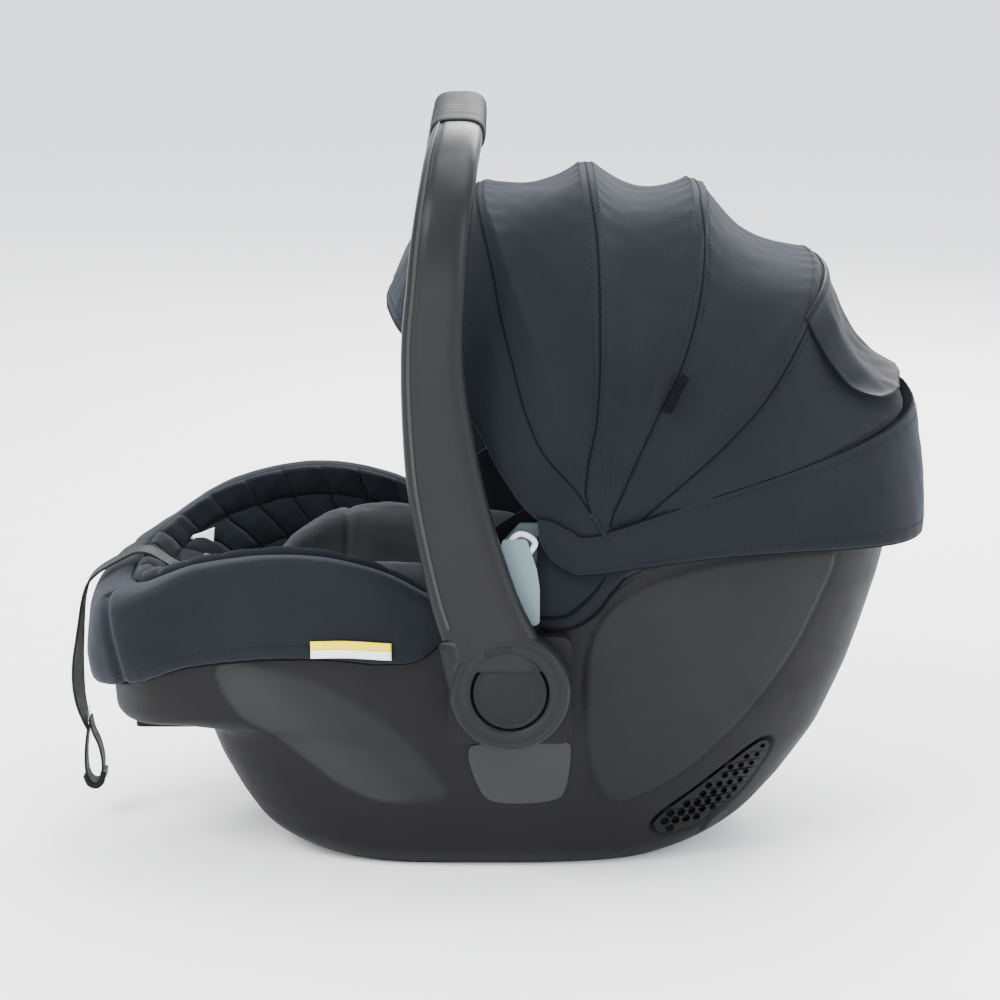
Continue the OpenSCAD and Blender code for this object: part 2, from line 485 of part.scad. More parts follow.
outer_shell();
rocker_base();
rubber_feet();
latch_bars();
inner_bucket();
foam_liner();
seat_pad();
cover_border();
canopy_band();
seat_insert();
head_pillow();
handle_bow();
grip_sleeve();
crotch_strap();
crotch_pad();
buckle_body();
buckle_button();
adjuster_housing();
adjuster_button();
adjuster_strap();
strap_loop();
harness_yoke();
base_release_housing();
base_release_lever();
base_release_pin();
care_label();
for (s = [[1, "_left"], [-1, "_right"]]) {
    vent_grille(s[0]);
    side_label(s[0]);
    warning_label(s[0]);
    hub_housing(s[0]);
    hub_axle(s[0]);
    handle_hub(s[0]);
    release_button(s[0]);
    button_spring(s[0]);
    belt_guide(s[0]);
    canopy_mount(s[0]);
    shoulder_strap(s[0]);
    shoulder_pad(s[0]);
    buckle_tongue(s[0]);
}
for (i = [0:3]) {
    canopy_bow(i);
    canopy_gore(i);
}
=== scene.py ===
"""Looks of the infant car seat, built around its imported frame. Metres; +X is the head end, +Z is up."""
import math

import bmesh
import bpy
import numpy as np
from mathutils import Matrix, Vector


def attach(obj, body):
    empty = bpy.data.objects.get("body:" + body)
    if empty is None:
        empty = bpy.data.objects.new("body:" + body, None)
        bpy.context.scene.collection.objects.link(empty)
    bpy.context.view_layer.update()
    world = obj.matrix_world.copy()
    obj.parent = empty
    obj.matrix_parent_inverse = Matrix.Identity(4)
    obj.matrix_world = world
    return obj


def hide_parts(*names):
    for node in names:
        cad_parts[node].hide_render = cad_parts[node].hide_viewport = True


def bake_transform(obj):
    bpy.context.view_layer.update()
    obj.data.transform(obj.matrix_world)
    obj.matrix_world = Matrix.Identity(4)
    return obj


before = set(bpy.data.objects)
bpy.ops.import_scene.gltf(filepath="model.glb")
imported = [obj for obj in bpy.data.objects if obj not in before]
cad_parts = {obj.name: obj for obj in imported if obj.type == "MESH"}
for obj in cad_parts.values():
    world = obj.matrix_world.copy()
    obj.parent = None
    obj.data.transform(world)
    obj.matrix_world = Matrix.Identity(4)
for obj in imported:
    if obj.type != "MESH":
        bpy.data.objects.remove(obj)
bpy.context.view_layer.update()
MM = 0.001
SIDES = (("left", 1), ("right", -1))

# ---------------------------------------------------------------- camera


def look(name, place, pitch_deg, lens):
    data = bpy.data.cameras.new(name)
    data.lens = lens
    data.sensor_width = 36
    camera = bpy.data.objects.new(name, data)
    camera.location = place
    camera.rotation_euler = (math.radians(90 - pitch_deg), 0, 0)
    bpy.context.scene.collection.objects.link(camera)
    bpy.context.scene.camera = camera


look("camera", (-0.005, -2.6, 0.875), 13.06, 118.58)

# ---------------------------------------------------------------- frame shapes, as in the design
FOOT_N, HEAD_N = 3.2, 2.6
RIM = np.array([[-330, 203], [-290, 222], [-240, 248], [-165, 262], [-100, 251], [-45, 224], [5, 213],
                [55, 230], [110, 266], [180, 300], [250, 322], [330, 333]], float) * MM
# Share of the height, foot X, head X, half width
SHELL = np.array([[0, -186, 165, 108], [0.02, -196, 186, 116], [0.06, -204, 204, 124],
                  [0.15, -216, 226, 132], [0.29, -232, 254, 141], [0.40, -241, 269, 147],
                  [0.43, -249, 273, 149], [0.45, -276, 276, 150.5], [0.495, -309, 281, 153],
                  [0.54, -316, 286, 155.5], [0.68, -318, 300, 162], [0.80, -318, 309, 168],
                  [0.90, -317, 314, 172.5], [1, -316, 316, 176]]) * [1, MM, MM, MM]
TUB = np.array([[0, -60, 50, 70], [0.06, -88, 86, 104], [0.15, -114, 118, 122], [0.30, -152, 160, 137],
                [0.50, -206, 215, 149], [0.70, -256, 258, 158.5], [0.87, -294, 288, 165],
                [1, -312.6, 312.6, 172.6]]) * [1, MM, MM, MM]
HEM = np.array([[-330, 0.65], [-300, 0.675], [-250, 0.695], [-160, 0.695], [-90, 0.715], [-55, 0.79],
                [-42, 0.97], [50, 0.965], [70, 0.955], [90, 0.98], [110, 0.97], [160, 0.925],
                [250, 0.85], [330, 0.83]]) * [MM, 1]
PAD_OUT = np.array([[-330, 22], [-300, 17], [-240, 12], [-160, 9.5], [-60, 8], [-40, 5], [60, 4],
                    [330, 2.6]]) * MM
TUB_FLOOR = 42 * MM
SHELL_THICK = 3.2 * MM


def hermite(table, x):
    """Smooth curve through a table's rows."""
    x = np.clip(np.asarray(x, float), table[0, 0], table[-1, 0])
    slope = np.gradient(table[:, 1], table[:, 0])
    inner = (table[2:, 1] - table[:-2, 1]) / (table[2:, 0] - table[:-2, 0])
    slope[1:-1] = inner
    i = np.clip(np.searchsorted(table[:, 0], x) - 1, 0, len(table) - 2)
    w = table[i + 1, 0] - table[i, 0]
    f = (x - table[i, 0]) / w
    return ((2 * f**3 - 3 * f**2 + 1) * table[i, 1] + (f**3 - 2 * f**2 + f) * w * slope[i]
            + (3 * f**2 - 2 * f**3) * table[i + 1, 1] + (f**3 - f**2) * w * slope[i + 1])


def rim(x):
    return hermite(RIM, x)


def rocker(x):
    x = np.asarray(x, float)
    d = np.maximum(np.abs(x - 0.005) - 0.078, 0)
    return d * d / 2 / np.where(x < 0.005, 0.42, 0.30)


def smooth_levels(table, count, sigma):
    """Resample a level table and soften its corners along the height."""
    t = np.linspace(0, 1, count)
    kernel = np.exp(-0.5 * (np.arange(-12, 13) / (sigma * count)) ** 2)
    kernel /= kernel.sum()
    columns = [t]
    for k in range(1, table.shape[1]):
        v = np.interp(t, table[:, 0], table[:, k])
        padded = np.concatenate([2 * v[0] - v[12:0:-1], v, 2 * v[-1] - v[-2:-14:-1]])
        columns.append(np.convolve(padded, kernel, "valid"))
    return np.stack(columns, 1)


SHELL_FINE = smooth_levels(SHELL, 241, 0.011)


def shell_level(t, k):
    return np.interp(t, SHELL_FINE[:, 0], SHELL_FINE[:, k])


def signed(v, e):
    """Power of the size of v that keeps its sign."""
    return np.sign(v) * np.abs(v) ** e


def run_along(p):
    """Distance from the start of a path to each of its points."""
    return np.concatenate([[0], np.cumsum(np.linalg.norm(np.diff(p, axis=0), axis=1))])


def unit(v):
    return v / np.linalg.norm(v, axis=-1, keepdims=True)


def plan(a, foot, head, half):
    """Point at angle a of a rounded plan outline."""
    c, s = np.cos(a), np.sin(a)
    e = 2 / np.where(c < 0, FOOT_N, HEAD_N)
    return (foot + head) / 2 + (head - foot) / 2 * signed(c, e), half * signed(s, e)


def even_angles(count, foot=-0.31, head=0.31, half=0.17):
    """Angles that space points evenly round the plan."""
    a = np.linspace(0, 2 * np.pi, 20001)
    x, y = plan(a, foot, head, half)
    run = np.concatenate([[0], np.cumsum(np.hypot(np.diff(x), np.diff(y)))])
    return np.interp(np.linspace(0, run[-1], count, endpoint=False), run, a)


def shell_point(a, t, out=0.0):
    x, y = plan(a, shell_level(t, 1) - out, shell_level(t, 2) + out, shell_level(t, 3) + out)
    z = (rocker(x) + 0.0004) * (1 - t) ** 6 + rim(x) * t
    return np.stack(np.broadcast_arrays(x, y, z), -1)


def shell_side(x, z, out=0.0, side=1):
    """Point on the shell's side wall at a given X and Z."""
    x, z = np.asarray(x, float), np.asarray(z, float)
    low, high = np.zeros_like(z), np.ones_like(z)
    for _ in range(40):
        t = (low + high) / 2
        h = (rocker(x) + 0.0004) * (1 - t) ** 6 + rim(x) * t
        low, high = np.where(h < z, t, low), np.where(h < z, high, t)
    foot, head, half = (shell_level(t, k) for k in (1, 2, 3))
    mid, span = (foot + head) / 2, (head - foot) / 2
    n = np.where(x < mid, FOOT_N, HEAD_N)
    y = half * np.maximum(1 - (np.abs(x - mid) / span) ** n, 0) ** (1 / n)
    return np.stack([x, side * (y + out), z], -1)


def tub_level(h, k):
    return np.interp(h, TUB[:, 0], TUB[:, k])


def tub_point(a, h, inset, lift=0.0):
    x, y = plan(a, tub_level(h, 1) + inset, tub_level(h, 2) - inset, tub_level(h, 3) - inset)
    low = TUB_FLOOR + inset
    return np.stack(np.broadcast_arrays(x, y, low + (rim(x) + lift - low) * h), -1)


def outline_distance(x, z, outline):
    """Signed distance to a closed outline, negative inside."""
    p = np.stack([x, z], -1)[..., None, :]
    a = np.asarray(outline, float)
    b = np.roll(a, -1, 0)
    e = b - a
    f = np.clip(((p - a) * e).sum(-1) / (e * e).sum(-1), 0, 1)
    near = np.linalg.norm(p - a - f[..., None] * e, axis=-1).min(-1)
    px, pz = p[..., 0], p[..., 1]
    spans = (a[:, 1] > pz) != (b[:, 1] > pz)
    cross = a[:, 0] + (pz - a[:, 1]) * e[:, 0] / np.where(e[:, 1] == 0, 1e-12, e[:, 1])
    inside = (spans & (px < cross)).sum(-1) % 2 == 1
    return np.where(inside, -near, near)


def rounded(outline, passes=3):
    """Closed outline with its corners cut into curves."""
    p = np.asarray(outline, float) * MM
    for _ in range(passes):
        q = np.roll(p, -1, 0)
        p = np.stack([0.75 * p + 0.25 * q, 0.25 * p + 0.75 * q], 1).reshape(-1, 2)
    return p


def step(v):
    v = np.clip(v, 0, 1)
    return v * v * (3 - 2 * v)


def ripple(p, scale, seed):
    """Smooth wave noise between -1 and 1, the same on each run."""
    rng = np.random.default_rng(seed)
    total = np.zeros(p.shape[:-1])
    for _ in range(7):
        d = rng.normal(size=3)
        d *= rng.uniform(0.6, 1.6) / np.linalg.norm(d)
        total += np.sin((p @ d) * 2 * np.pi / scale + rng.uniform(0, 6.28))
    return total / 4


# ---------------------------------------------------------------- mesh makers


def make(name, points, faces, material, body=None, smooth=True):
    mesh = bpy.data.meshes.new(name)
    mesh.from_pydata([tuple(p) for p in np.asarray(points, float)], [], faces)
    mesh.update()
    obj = bpy.data.objects.new(name, mesh)
    bpy.context.scene.collection.objects.link(obj)
    mesh.materials.append(material)
    if smooth:
        mesh.polygons.foreach_set("use_smooth", [True] * len(mesh.polygons))
    if body:
        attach(obj, body)
    return obj


def stands_for(node):
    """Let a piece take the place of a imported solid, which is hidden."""
    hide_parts(node)


def grid_faces(rows, cols, wrap_rows=False, wrap_cols=False, start=0):
    r = np.arange(rows if wrap_rows else rows - 1)
    c = np.arange(cols if wrap_cols else cols - 1)
    r, c = np.meshgrid(r, c, indexing="ij")
    r2, c2 = (r + 1) % rows, (c + 1) % cols
    quads = np.stack([r * cols + c, r * cols + c2, r2 * cols + c2, r2 * cols + c], -1)
    return (quads.reshape(-1, 4) + start).tolist()


def outward(obj, merge=1e-6):
    """Point every face of a closed mesh outwards, once points closer than merge are joined."""
    bm = bmesh.new()
    bm.from_mesh(obj.data)
    if merge:
        bmesh.ops.remove_doubles(bm, verts=bm.verts, dist=merge)
    bmesh.ops.recalc_face_normals(bm, faces=bm.faces)
    bm.to_mesh(obj.data)
    bm.free()
    obj.data.update()
    return obj


def grid_normals(g, wrap_cols=False):
    """Unit normals of a grid of points."""
    du = np.gradient(g, axis=0)
    if wrap_cols:
        dv = np.roll(g, -1, 1) - np.roll(g, 1, 1)
    else:
        dv = np.gradient(g, axis=1)
    n = np.cross(dv, du)
    return n / np.maximum(np.linalg.norm(n, axis=-1, keepdims=True), 1e-12)


def tube(name, rings, material, body=None, close=True):
    """Closed skin over rings, each a closed loop of points."""
    rings = np.asarray(rings, float)
    m, n = rings.shape[:2]
    faces = grid_faces(m, n, wrap_cols=True)
    points = rings.reshape(-1, 3)
    if close:
        faces += [list(range(n - 1, -1, -1)), list(range((m - 1) * n, m * n))]
    return outward(make(name, points, faces, material, body))


def ring_solid(name, loops, material, body=None):
    """Ring-shaped solid: loops[k] is the closed cross-section at column k, and the columns close too."""
    loops = np.asarray(loops, float)
    m, n = loops.shape[:2]
    return outward(make(name, loops.reshape(-1, 3), grid_faces(m, n, True, True), material, body))


def attribute(obj, name, values):
    layer = obj.data.attributes.new(name, "FLOAT", "POINT")
    layer.data.foreach_set("value", np.asarray(values, np.float32).ravel())


def cloth_panel(name, outer, inner, material, body=None, share=None):
    """Thin closed cloth between two grids. It can carry its share of the way between two bows."""
    outer, inner = np.asarray(outer, float), np.asarray(inner, float)
    loops = np.concatenate([outer, inner[:, ::-1]], 1)
    m, n = loops.shape[:2]
    faces = grid_faces(m, n, wrap_cols=True)
    for r in (0, (m - 1) * n):
        faces += [[r + k, r + k + 1, r + n - 2 - k, r + n - 1 - k] for k in range(n // 2 - 1)]
    obj = make(name, loops.reshape(-1, 3), faces, material, body)
    if share is not None:
        attribute(obj, "fold", np.concatenate([share, share[:, ::-1]], 1))
    return outward(obj)


def thread(name, path, radius, material, body=None, closed=False, sides=8):
    """Round cord of stitching or piping along a path."""
    p = np.asarray(path, float)
    if closed:
        d = np.roll(p, -1, 0) - np.roll(p, 1, 0)
    else:
        d = np.gradient(p, axis=0)
    d /= np.maximum(np.linalg.norm(d, axis=1, keepdims=True), 1e-12)
    up = unit(np.cross(d, [0.3, 0.5, 0.81]))
    for i in range(1, len(p)):
        up[i] = up[i - 1] - d[i] * (up[i - 1] @ d[i])
        up[i] /= np.linalg.norm(up[i])
    side = np.cross(d, up)
    a = np.linspace(0, 2 * np.pi, sides, endpoint=False)
    c, s = np.cos(a)[None, :, None], np.sin(a)[None, :, None]
    rings = p[:, None] + radius * (c * up[:, None] + s * side[:, None])
    if closed:
        return ring_solid(name, rings, material, body)
    return tube(name, rings, material, body)


def stitches(name, path, material, body=None, length=0.0035, gap=0.0018, radius=0.00038):
    """Row of separate sewn stitches along a path."""
    p = np.asarray(path, float)
    run = run_along(p)
    points, faces = [], []
    a = np.linspace(0, 2 * np.pi, 6, endpoint=False)
    for s in np.arange(gap, run[-1] - length, length + gap):
        at = np.array([np.interp(s + length * f, run, p[:, k]) for f in (0, 0.5, 1) for k in range(3)])
        at = at.reshape(3, 3)
        d = at[2] - at[0]
        d /= np.linalg.norm(d)
        u = np.cross(d, [0.31, 0.52, 0.79])
        u /= np.linalg.norm(u)
        v = np.cross(d, u)
        base = len(points)
        for q, r in zip(at, (0.45, 1.0, 0.45)):
            points += [q + radius * r * (math.cos(t) * u + math.sin(t) * v) for t in a]
        faces += grid_faces(3, 6, wrap_cols=True, start=base)
        faces += [[base + k for k in range(5, -1, -1)], [base + 12 + k for k in range(6)]]
    return outward(make(name, points, faces, material, body))


def lathe(name, profile, place, side, material, body=None, segments=128):
    """Solid of revolution about Y: profile points are radius and distance from the middle plane."""
    p = np.asarray(profile, float) * MM
    a = np.linspace(0, 2 * np.pi, segments, endpoint=False)
    r, y = p[:, 0, None], side * p[:, 1, None]
    rings = np.stack(np.broadcast_arrays(place[0] + r * np.cos(a), y, place[1] + r * np.sin(a)), -1)
    faces = grid_faces(len(p), segments, wrap_cols=True)
    if p[0, 0] > 1e-9 and p[-1, 0] > 1e-9:
        last = (len(p) - 1) * segments
        for k in range(segments):
            k2 = (k + 1) % segments
            faces.append([last + k, last + k2, k2, k])
    return outward(make(name, rings.reshape(-1, 3), faces, material, body))


def modify(obj, kind, **settings):
    m = obj.modifiers.new(kind.lower(), kind)
    for key, value in settings.items():
        setattr(m, key, value)
    return m


def apply_modifiers(obj):
    depsgraph = bpy.context.evaluated_depsgraph_get()
    mesh = bpy.data.meshes.new_from_object(obj.evaluated_get(depsgraph))
    old = obj.data
    obj.modifiers.clear()
    obj.data = mesh
    bpy.data.meshes.remove(old)
    mesh.polygons.foreach_set("use_smooth", [True] * len(mesh.polygons))


def inflate(obj, pressure, cap, voxel, frames=20):
    """Remesh a pad and let cloth simulation fill it, then keep each point within cap of its start."""
    modify(obj, "REMESH", mode="VOXEL", voxel_size=voxel)
    apply_modifiers(obj)
    start = np.array([v.co for v in obj.data.vertices])
    cloth = modify(obj, "CLOTH")
    cloth.settings.use_pressure = True
    cloth.settings.uniform_pressure_force = pressure
    cloth.settings.tension_stiffness = 25
    cloth.settings.compression_stiffness = 25
    cloth.settings.bending_stiffness = 1.5
    cloth.settings.effector_weights.gravity = 0
    cloth.point_cache.frame_start = 1
    cloth.point_cache.frame_end = frames
    for f in range(1, frames + 1):
        bpy.context.scene.frame_set(f)
    apply_modifiers(obj)
    moved = np.array([v.co for v in obj.data.vertices])
    shift = moved - start
    far = np.linalg.norm(shift, axis=1, keepdims=True)
    moved = start + shift * np.minimum(1, cap / np.maximum(far, 1e-9))
    obj.data.vertices.foreach_set("co", moved.astype(np.float32).ravel())
    bpy.context.scene.frame_set(1)
    modify(obj, "SMOOTH", factor=0.5, iterations=4)
    modify(obj, "SUBSURF", levels=1, render_levels=1)
    apply_modifiers(obj)
    return obj


# ---------------------------------------------------------------- materials


class Nodes:
    """Small helper to wire one procedural material."""

    def __init__(self, name):
        self.material = bpy.data.materials.new(name)
        self.material.use_nodes = True
        self.tree = self.material.node_tree
        self.shader = self.tree.nodes["Principled BSDF"]
        self.place = self.add("ShaderNodeTexCoord").outputs["Object"]

    def add(self, kind, **settings):
        node = self.tree.nodes.new(kind)
        for key, value in settings.items():
            if key.startswith("in_"):
                node.inputs[key[3:].replace("_", " ")].default_value = value
            else:
                setattr(node, key, value)
        return node

    def join(self, a, b):
        self.tree.links.new(a, b)

    def noise(self, scale, detail=3, roughness=0.5, stretch=None):
        node = self.add("ShaderNodeTexNoise", in_Scale=scale, in_Detail=detail, in_Roughness=roughness)
        source = self.place
        if stretch:
            mapping = self.add("ShaderNodeMapping")
            mapping.inputs["Scale"].default_value = stretch
            self.join(source, mapping.inputs["Vector"])
            source = mapping.outputs["Vector"]
        self.join(source, node.inputs["Vector"])
        return node.outputs["Fac"]

    def ramp(self, value, low, high):
        node = self.add("ShaderNodeMapRange")
        node.inputs["To Min"].default_value = low
        node.inputs["To Max"].default_value = high
        node.inputs["From Min"].default_value = 0.3
        node.inputs["From Max"].default_value = 0.7
        self.join(value, node.inputs["Value"])
        return node.outputs["Result"]

    def math(self, kind, a, b):
        node = self.add("ShaderNodeMath", operation=kind)
        for socket, v in zip(node.inputs, (a, b)):
            if isinstance(v, (int, float)):
                socket.default_value = v
            else:
                self.join(v, socket)
        return node.outputs[0]

    def two_colours(self, value, low, high):
        node = self.add("ShaderNodeMix", data_type="RGBA")
        node.inputs[6].default_value = (*low, 1)
        node.inputs[7].default_value = (*high, 1)
        self.join(value, node.inputs["Factor"])
        return node.outputs[2]

    def bump(self, height, distance, strength=1.0, under=None):
        node = self.add("ShaderNodeBump", in_Strength=strength, in_Distance=distance)
        self.join(height, node.inputs["Height"])
        if under is not None:
            self.join(under, node.inputs["Normal"])
        return node.outputs["Normal"]

    def wave(self, scale, axis, wobble):
        node = self.add("ShaderNodeTexWave", bands_direction=axis, wave_profile="SIN", in_Scale=scale,
                        in_Distortion=wobble, in_Detail=1.0)
        self.join(self.place, node.inputs["Vector"])
        return node.outputs["Fac"]


def fabric(name, colour, lift=1.25, pitch=0.0011, sheen=0.07, roughness=0.88, weave=0.00007):
    """Knit or woven cloth: crossed yarn rows, fibre noise and slow colour drift."""
    n = Nodes(name)
    bands = 1 / pitch / 3.2
    rows = n.wave(bands, "Z", 0.6)
    across = n.add("ShaderNodeTexWave", bands_direction="DIAGONAL", in_Scale=bands * 0.8, in_Distortion=0.4)
    n.join(n.place, across.inputs["Vector"])
    yarn = n.math("MULTIPLY", rows, across.outputs["Fac"])
    fibre = n.noise(900, 2, 0.6)
    drift = n.noise(9, 3, 0.55)
    mix = n.math("ADD", n.math("MULTIPLY", yarn, 0.12), n.math("MULTIPLY", fibre, 0.28))
    mix = n.math("ADD", mix, n.math("MULTIPLY", n.ramp(drift, 0, 1), 0.60))
    low = tuple(c * 0.78 for c in colour)
    high = tuple(min(1, c * lift) for c in colour)
    n.join(n.two_colours(mix, low, high), n.shader.inputs["Base Color"])
    n.join(n.ramp(fibre, roughness - 0.08, min(1, roughness + 0.08)), n.shader.inputs["Roughness"])
    puckers = n.bump(n.noise(55, 2, 0.5), 0.0006, 0.35)
    cloth = n.bump(n.math("ADD", yarn, n.math("MULTIPLY", fibre, 0.5)), weave, 0.8, puckers)
    n.join(cloth, n.shader.inputs["Normal"])
    n.shader.inputs["Sheen Weight"].default_value = sheen
    n.shader.inputs["Sheen Roughness"].default_value = 0.45
    n.shader.inputs["Sheen Tint"].default_value = (0.75, 0.83, 0.95, 1)
    n.shader.inputs["Specular IOR Level"].default_value = 0.06
    return n.material


def plastic(name, colour, roughness=0.5, grain=0.00012, grain_scale=1500, coat=0.0, spread=0.10):
    """Moulded plastic: fine grain, faint flow marks, handling wear in the gloss."""
    n = Nodes(name)
    fine = n.noise(grain_scale, 2, 0.6)
    flow = n.noise(6, 4, 0.6, stretch=(1, 1, 0.5))
    wear = n.noise(38, 5, 0.65)
    tone = n.math("ADD", n.math("MULTIPLY", n.ramp(flow, 0, 1), 0.6), n.math("MULTIPLY", fine, 0.4))
    low = tuple(c * (1 - spread) for c in colour)
    high = tuple(min(1, c * (1 + spread)) for c in colour)
    n.join(n.two_colours(tone, low, high), n.shader.inputs["Base Color"])
    rough = n.math("ADD", n.ramp(wear, roughness - 0.06, roughness + 0.05), n.math("MULTIPLY", fine, 0.05))
    n.join(rough, n.shader.inputs["Roughness"])
    n.join(n.bump(fine, grain, 0.7), n.shader.inputs["Normal"])
    n.shader.inputs["Specular IOR Level"].default_value = 0.10
    n.shader.inputs["Coat Weight"].default_value = coat
    n.shader.inputs["Coat Roughness"].default_value = 0.3
    return n.material


def metal(name, colour, roughness=0.3):
    n = Nodes(name)
    brushed = n.noise(500, 3, 0.6, stretch=(1, 0.05, 1))
    n.join(n.two_colours(brushed, tuple(c * 0.8 for c in colour), colour), n.shader.inputs["Base Color"])
    n.join(n.ramp(brushed, roughness - 0.08, roughness + 0.12), n.shader.inputs["Roughness"])
    n.join(n.bump(brushed, 0.00005, 0.5), n.shader.inputs["Normal"])
    n.shader.inputs["Metallic"].default_value = 1.0
    return n.material


def webbing_cloth(name, colour):
    """Woven webbing with close ribs along and across."""
    n = Nodes(name)
    ribs = n.wave(330, "Y", 0.2)
    picks = n.wave(260, "Z", 0.3)
    weave = n.math("ADD", n.math("MULTIPLY", ribs, 0.6), n.math("MULTIPLY", picks, 0.4))
    n.join(n.two_colours(weave, tuple(c * 0.6 for c in colour), tuple(c * 1.5 for c in colour)),
           n.shader.inputs["Base Color"])
    n.join(n.ramp(n.noise(600), 0.55, 0.75), n.shader.inputs["Roughness"])
    n.join(n.bump(weave, 0.0004, 0.8), n.shader.inputs["Normal"])
    n.shader.inputs["Sheen Weight"].default_value = 0.04
    n.shader.inputs["Specular IOR Level"].default_value = 0.2
    return n.material


SLATE = (0.0064, 0.0082, 0.0100)
slate = fabric("slate_knit", SLATE)
satin = fabric("satin_flap", (0.0040, 0.0052, 0.0064), pitch=0.0006, sheen=0.02, roughness=0.50,
               weave=0.00004)
quilt_cloth = fabric("quilt_knit", (0.0042, 0.0055, 0.0070), pitch=0.0010)
insert_cloth = fabric("insert_jersey", (0.0225, 0.0240, 0.0260), pitch=0.0009, sheen=0.12)
seam_thread = fabric("seam_thread", (0.0018, 0.0022, 0.0029), pitch=0.0008, sheen=0.02)
webbing = webbing_cloth("webbing", (0.0032, 0.0034, 0.0038))
shell_plastic = plastic("shell_plastic", (0.0062, 0.0061, 0.0066), 0.55)
dark_plastic = plastic("dark_plastic", (0.0040, 0.0040, 0.0043), 0.5)
handle_plastic = plastic("handle_plastic", (0.0082, 0.0085, 0.0092), 0.33)
# lighter plastic that paints a highlight along the handle's edges
trim_highlight_plastic = plastic("trim_highlight_plastic", (0.022, 0.0225, 0.0235), 0.35)
hub_plastic = plastic("hub_plastic", (0.0078, 0.0079, 0.0084), 0.38)
button_plastic = plastic("button_plastic", (0.0060, 0.0061, 0.0065), 0.40)
grip_rubber = plastic("grip_rubber", (0.0125, 0.0125, 0.0130), 0.60, grain=0.0002, grain_scale=900)
guide_plastic = plastic("guide_plastic", (0.100, 0.138, 0.150), 0.45)
# much lighter plastic that paints the highlight on the belt guide's rounded rim
guide_rim_highlight = plastic("guide_rim_highlight", (0.36, 0.40, 0.41), 0.5)
label_film = plastic("label_film", (0.0225, 0.0232, 0.0230), 0.30)
tub_plastic = plastic("tub_plastic", (0.02, 0.02, 0.021), 0.5)
red_plastic = plastic("red_plastic", (0.50, 0.014, 0.02), 0.35, coat=0.2)
rubber_black = plastic("rubber_black", (0.018, 0.018, 0.019), 0.8)
steel = metal("steel", (0.45, 0.45, 0.47))
foam_white = plastic("foam_grey", (0.03, 0.03, 0.031), 0.85, grain=0.0005, grain_scale=300)
tag_white = fabric("tag_white", (0.72, 0.72, 0.70), lift=1.1, pitch=0.0007, sheen=0.1)
tag_yellow = fabric("tag_yellow", (0.80, 0.62, 0.0), lift=1.05, pitch=0.0007, sheen=0.0)
floor_white = plastic("floor_white", (0.96, 0.96, 0.96), 0.75, grain=0.0001, spread=0.01)


def shell_skin():
    """Shell plastic that turns lighter on the raised panels as a painted highlight, and near black in the vents as
    painted shade.
    """
    material = plastic("shell_skin", (0.0062, 0.0061, 0.0066), 0.55)
    tree = material.node_tree
    shader = tree.nodes["Principled BSDF"]
    source = shader.inputs["Base Color"].links[0].from_socket
    # painted highlight colour for the panels and painted shade colour for the vent recesses
    for name, colour in (("panel_highlight", (0.0165, 0.0175, 0.0175, 1)), ("vent_shade", (0.0015, 0.0015, 0.0015, 1))):
        mask = tree.nodes.new("ShaderNodeAttribute")
        mask.attribute_name = name
        mix = tree.nodes.new("ShaderNodeMix")
        mix.data_type = "RGBA"
        mix.inputs[7].default_value = colour
        tree.links.new(mask.outputs["Fac"], mix.inputs["Factor"])
        tree.links.new(source, mix.inputs[6])
        source = mix.outputs[2]
    tree.links.new(source, shader.inputs["Base Color"])
    return material

# ---------------------------------------------------------------- outer shell
FRONT_PANEL = rounded([[-229, 166], [-213, 134], [-190, 115], [-160, 95], [-131, 71], [-98, 58], [-66, 56],
                       [-46, 60], [-40, 72], [-48, 86], [-62, 106], [-80, 126], [-107, 147], [-130, 162],
                       [-165, 178], [-222, 178]], 2)
REAR_PANEL = rounded([[59, 202], [92, 242], [160, 262], [252, 264], [256, 250], [246, 226], [222, 173],
                      [183, 124], [137, 80], [91, 57], [72, 66], [60, 112]], 2)
VENT = rounded([[112, 32], [114, 44], [151, 70], [197, 106], [211, 106], [212, 91], [187, 51], [169, 42],
                [152, 27], [123, 22]], 2)
VENT_BOSS = rounded([[150, 14], [163, 44], [184, 42], [170, 20]], 2)
LABEL = rounded([[-36, 112], [-20, 117], [50, 119], [53, 108], [49, 68], [38, 59], [-8, 57], [-24, 68]], 3)
SOFT_LINE = np.array([[-140, 172], [-119, 166], [-95, 152], [-76, 134], [-60, 112], [-50, 92]]) * MM


def line_distance(x, z, line):
    """Distance to an open line."""
    p = np.stack([x, z], -1)[..., None, :]
    a, b = line[:-1], line[1:]
    e = b - a
    f = np.clip(((p - a) * e).sum(-1) / (e * e).sum(-1), 0, 1)
    return np.linalg.norm(p - a - f[..., None] * e, axis=-1).min(-1)


def shell_relief(x, z, side):
    """How far the shell's moulded panels stand out of it, with the painted highlight mask of the panels and the
    painted shade mask of the vents.
    """
    side = step((np.abs(side) - 0.085) / 0.02)
    d = outline_distance(x, z, FRONT_PANEL)
    lean = step((x + z + 0.045) / 0.05)
    edge = 0.0022 + 0.012 * lean
    front = step(-d / edge)
    relief = -0.0024 * front
    relief += 0.0011 * np.exp(-(line_distance(x, z, SOFT_LINE) / 0.006) ** 2)
    d = outline_distance(x, z, REAR_PANEL)
    rear = step(-d / 0.0025)
    relief += 0.0020 * rear - 0.0008 * np.exp(-((d - 0.0018) / 0.0018) ** 2)
    d = outline_distance(x, z, VENT)
    vent = step(-d / 0.0015)
    relief = relief * (1 - vent) - 0.0026 * vent
    boss = step(-outline_distance(x, z, VENT_BOSS) / 0.002)
    relief += 0.0030 * boss
    label = step(-outline_distance(x, z, LABEL) / 0.0015)
    relief = relief * (1 - label) - 0.0006 * label
    # painted highlight: a lighter colour over the front panel, weaker where lean rises, and faint over the rear panel
    highlight_masks = np.maximum(front * (1 - 0.5 * lean), 0.22 * rear) * side
    # the last value is painted shade in the vent recess, left off the boss
    return relief * side, highlight_masks * (1 - vent), vent * side * (1 - boss)


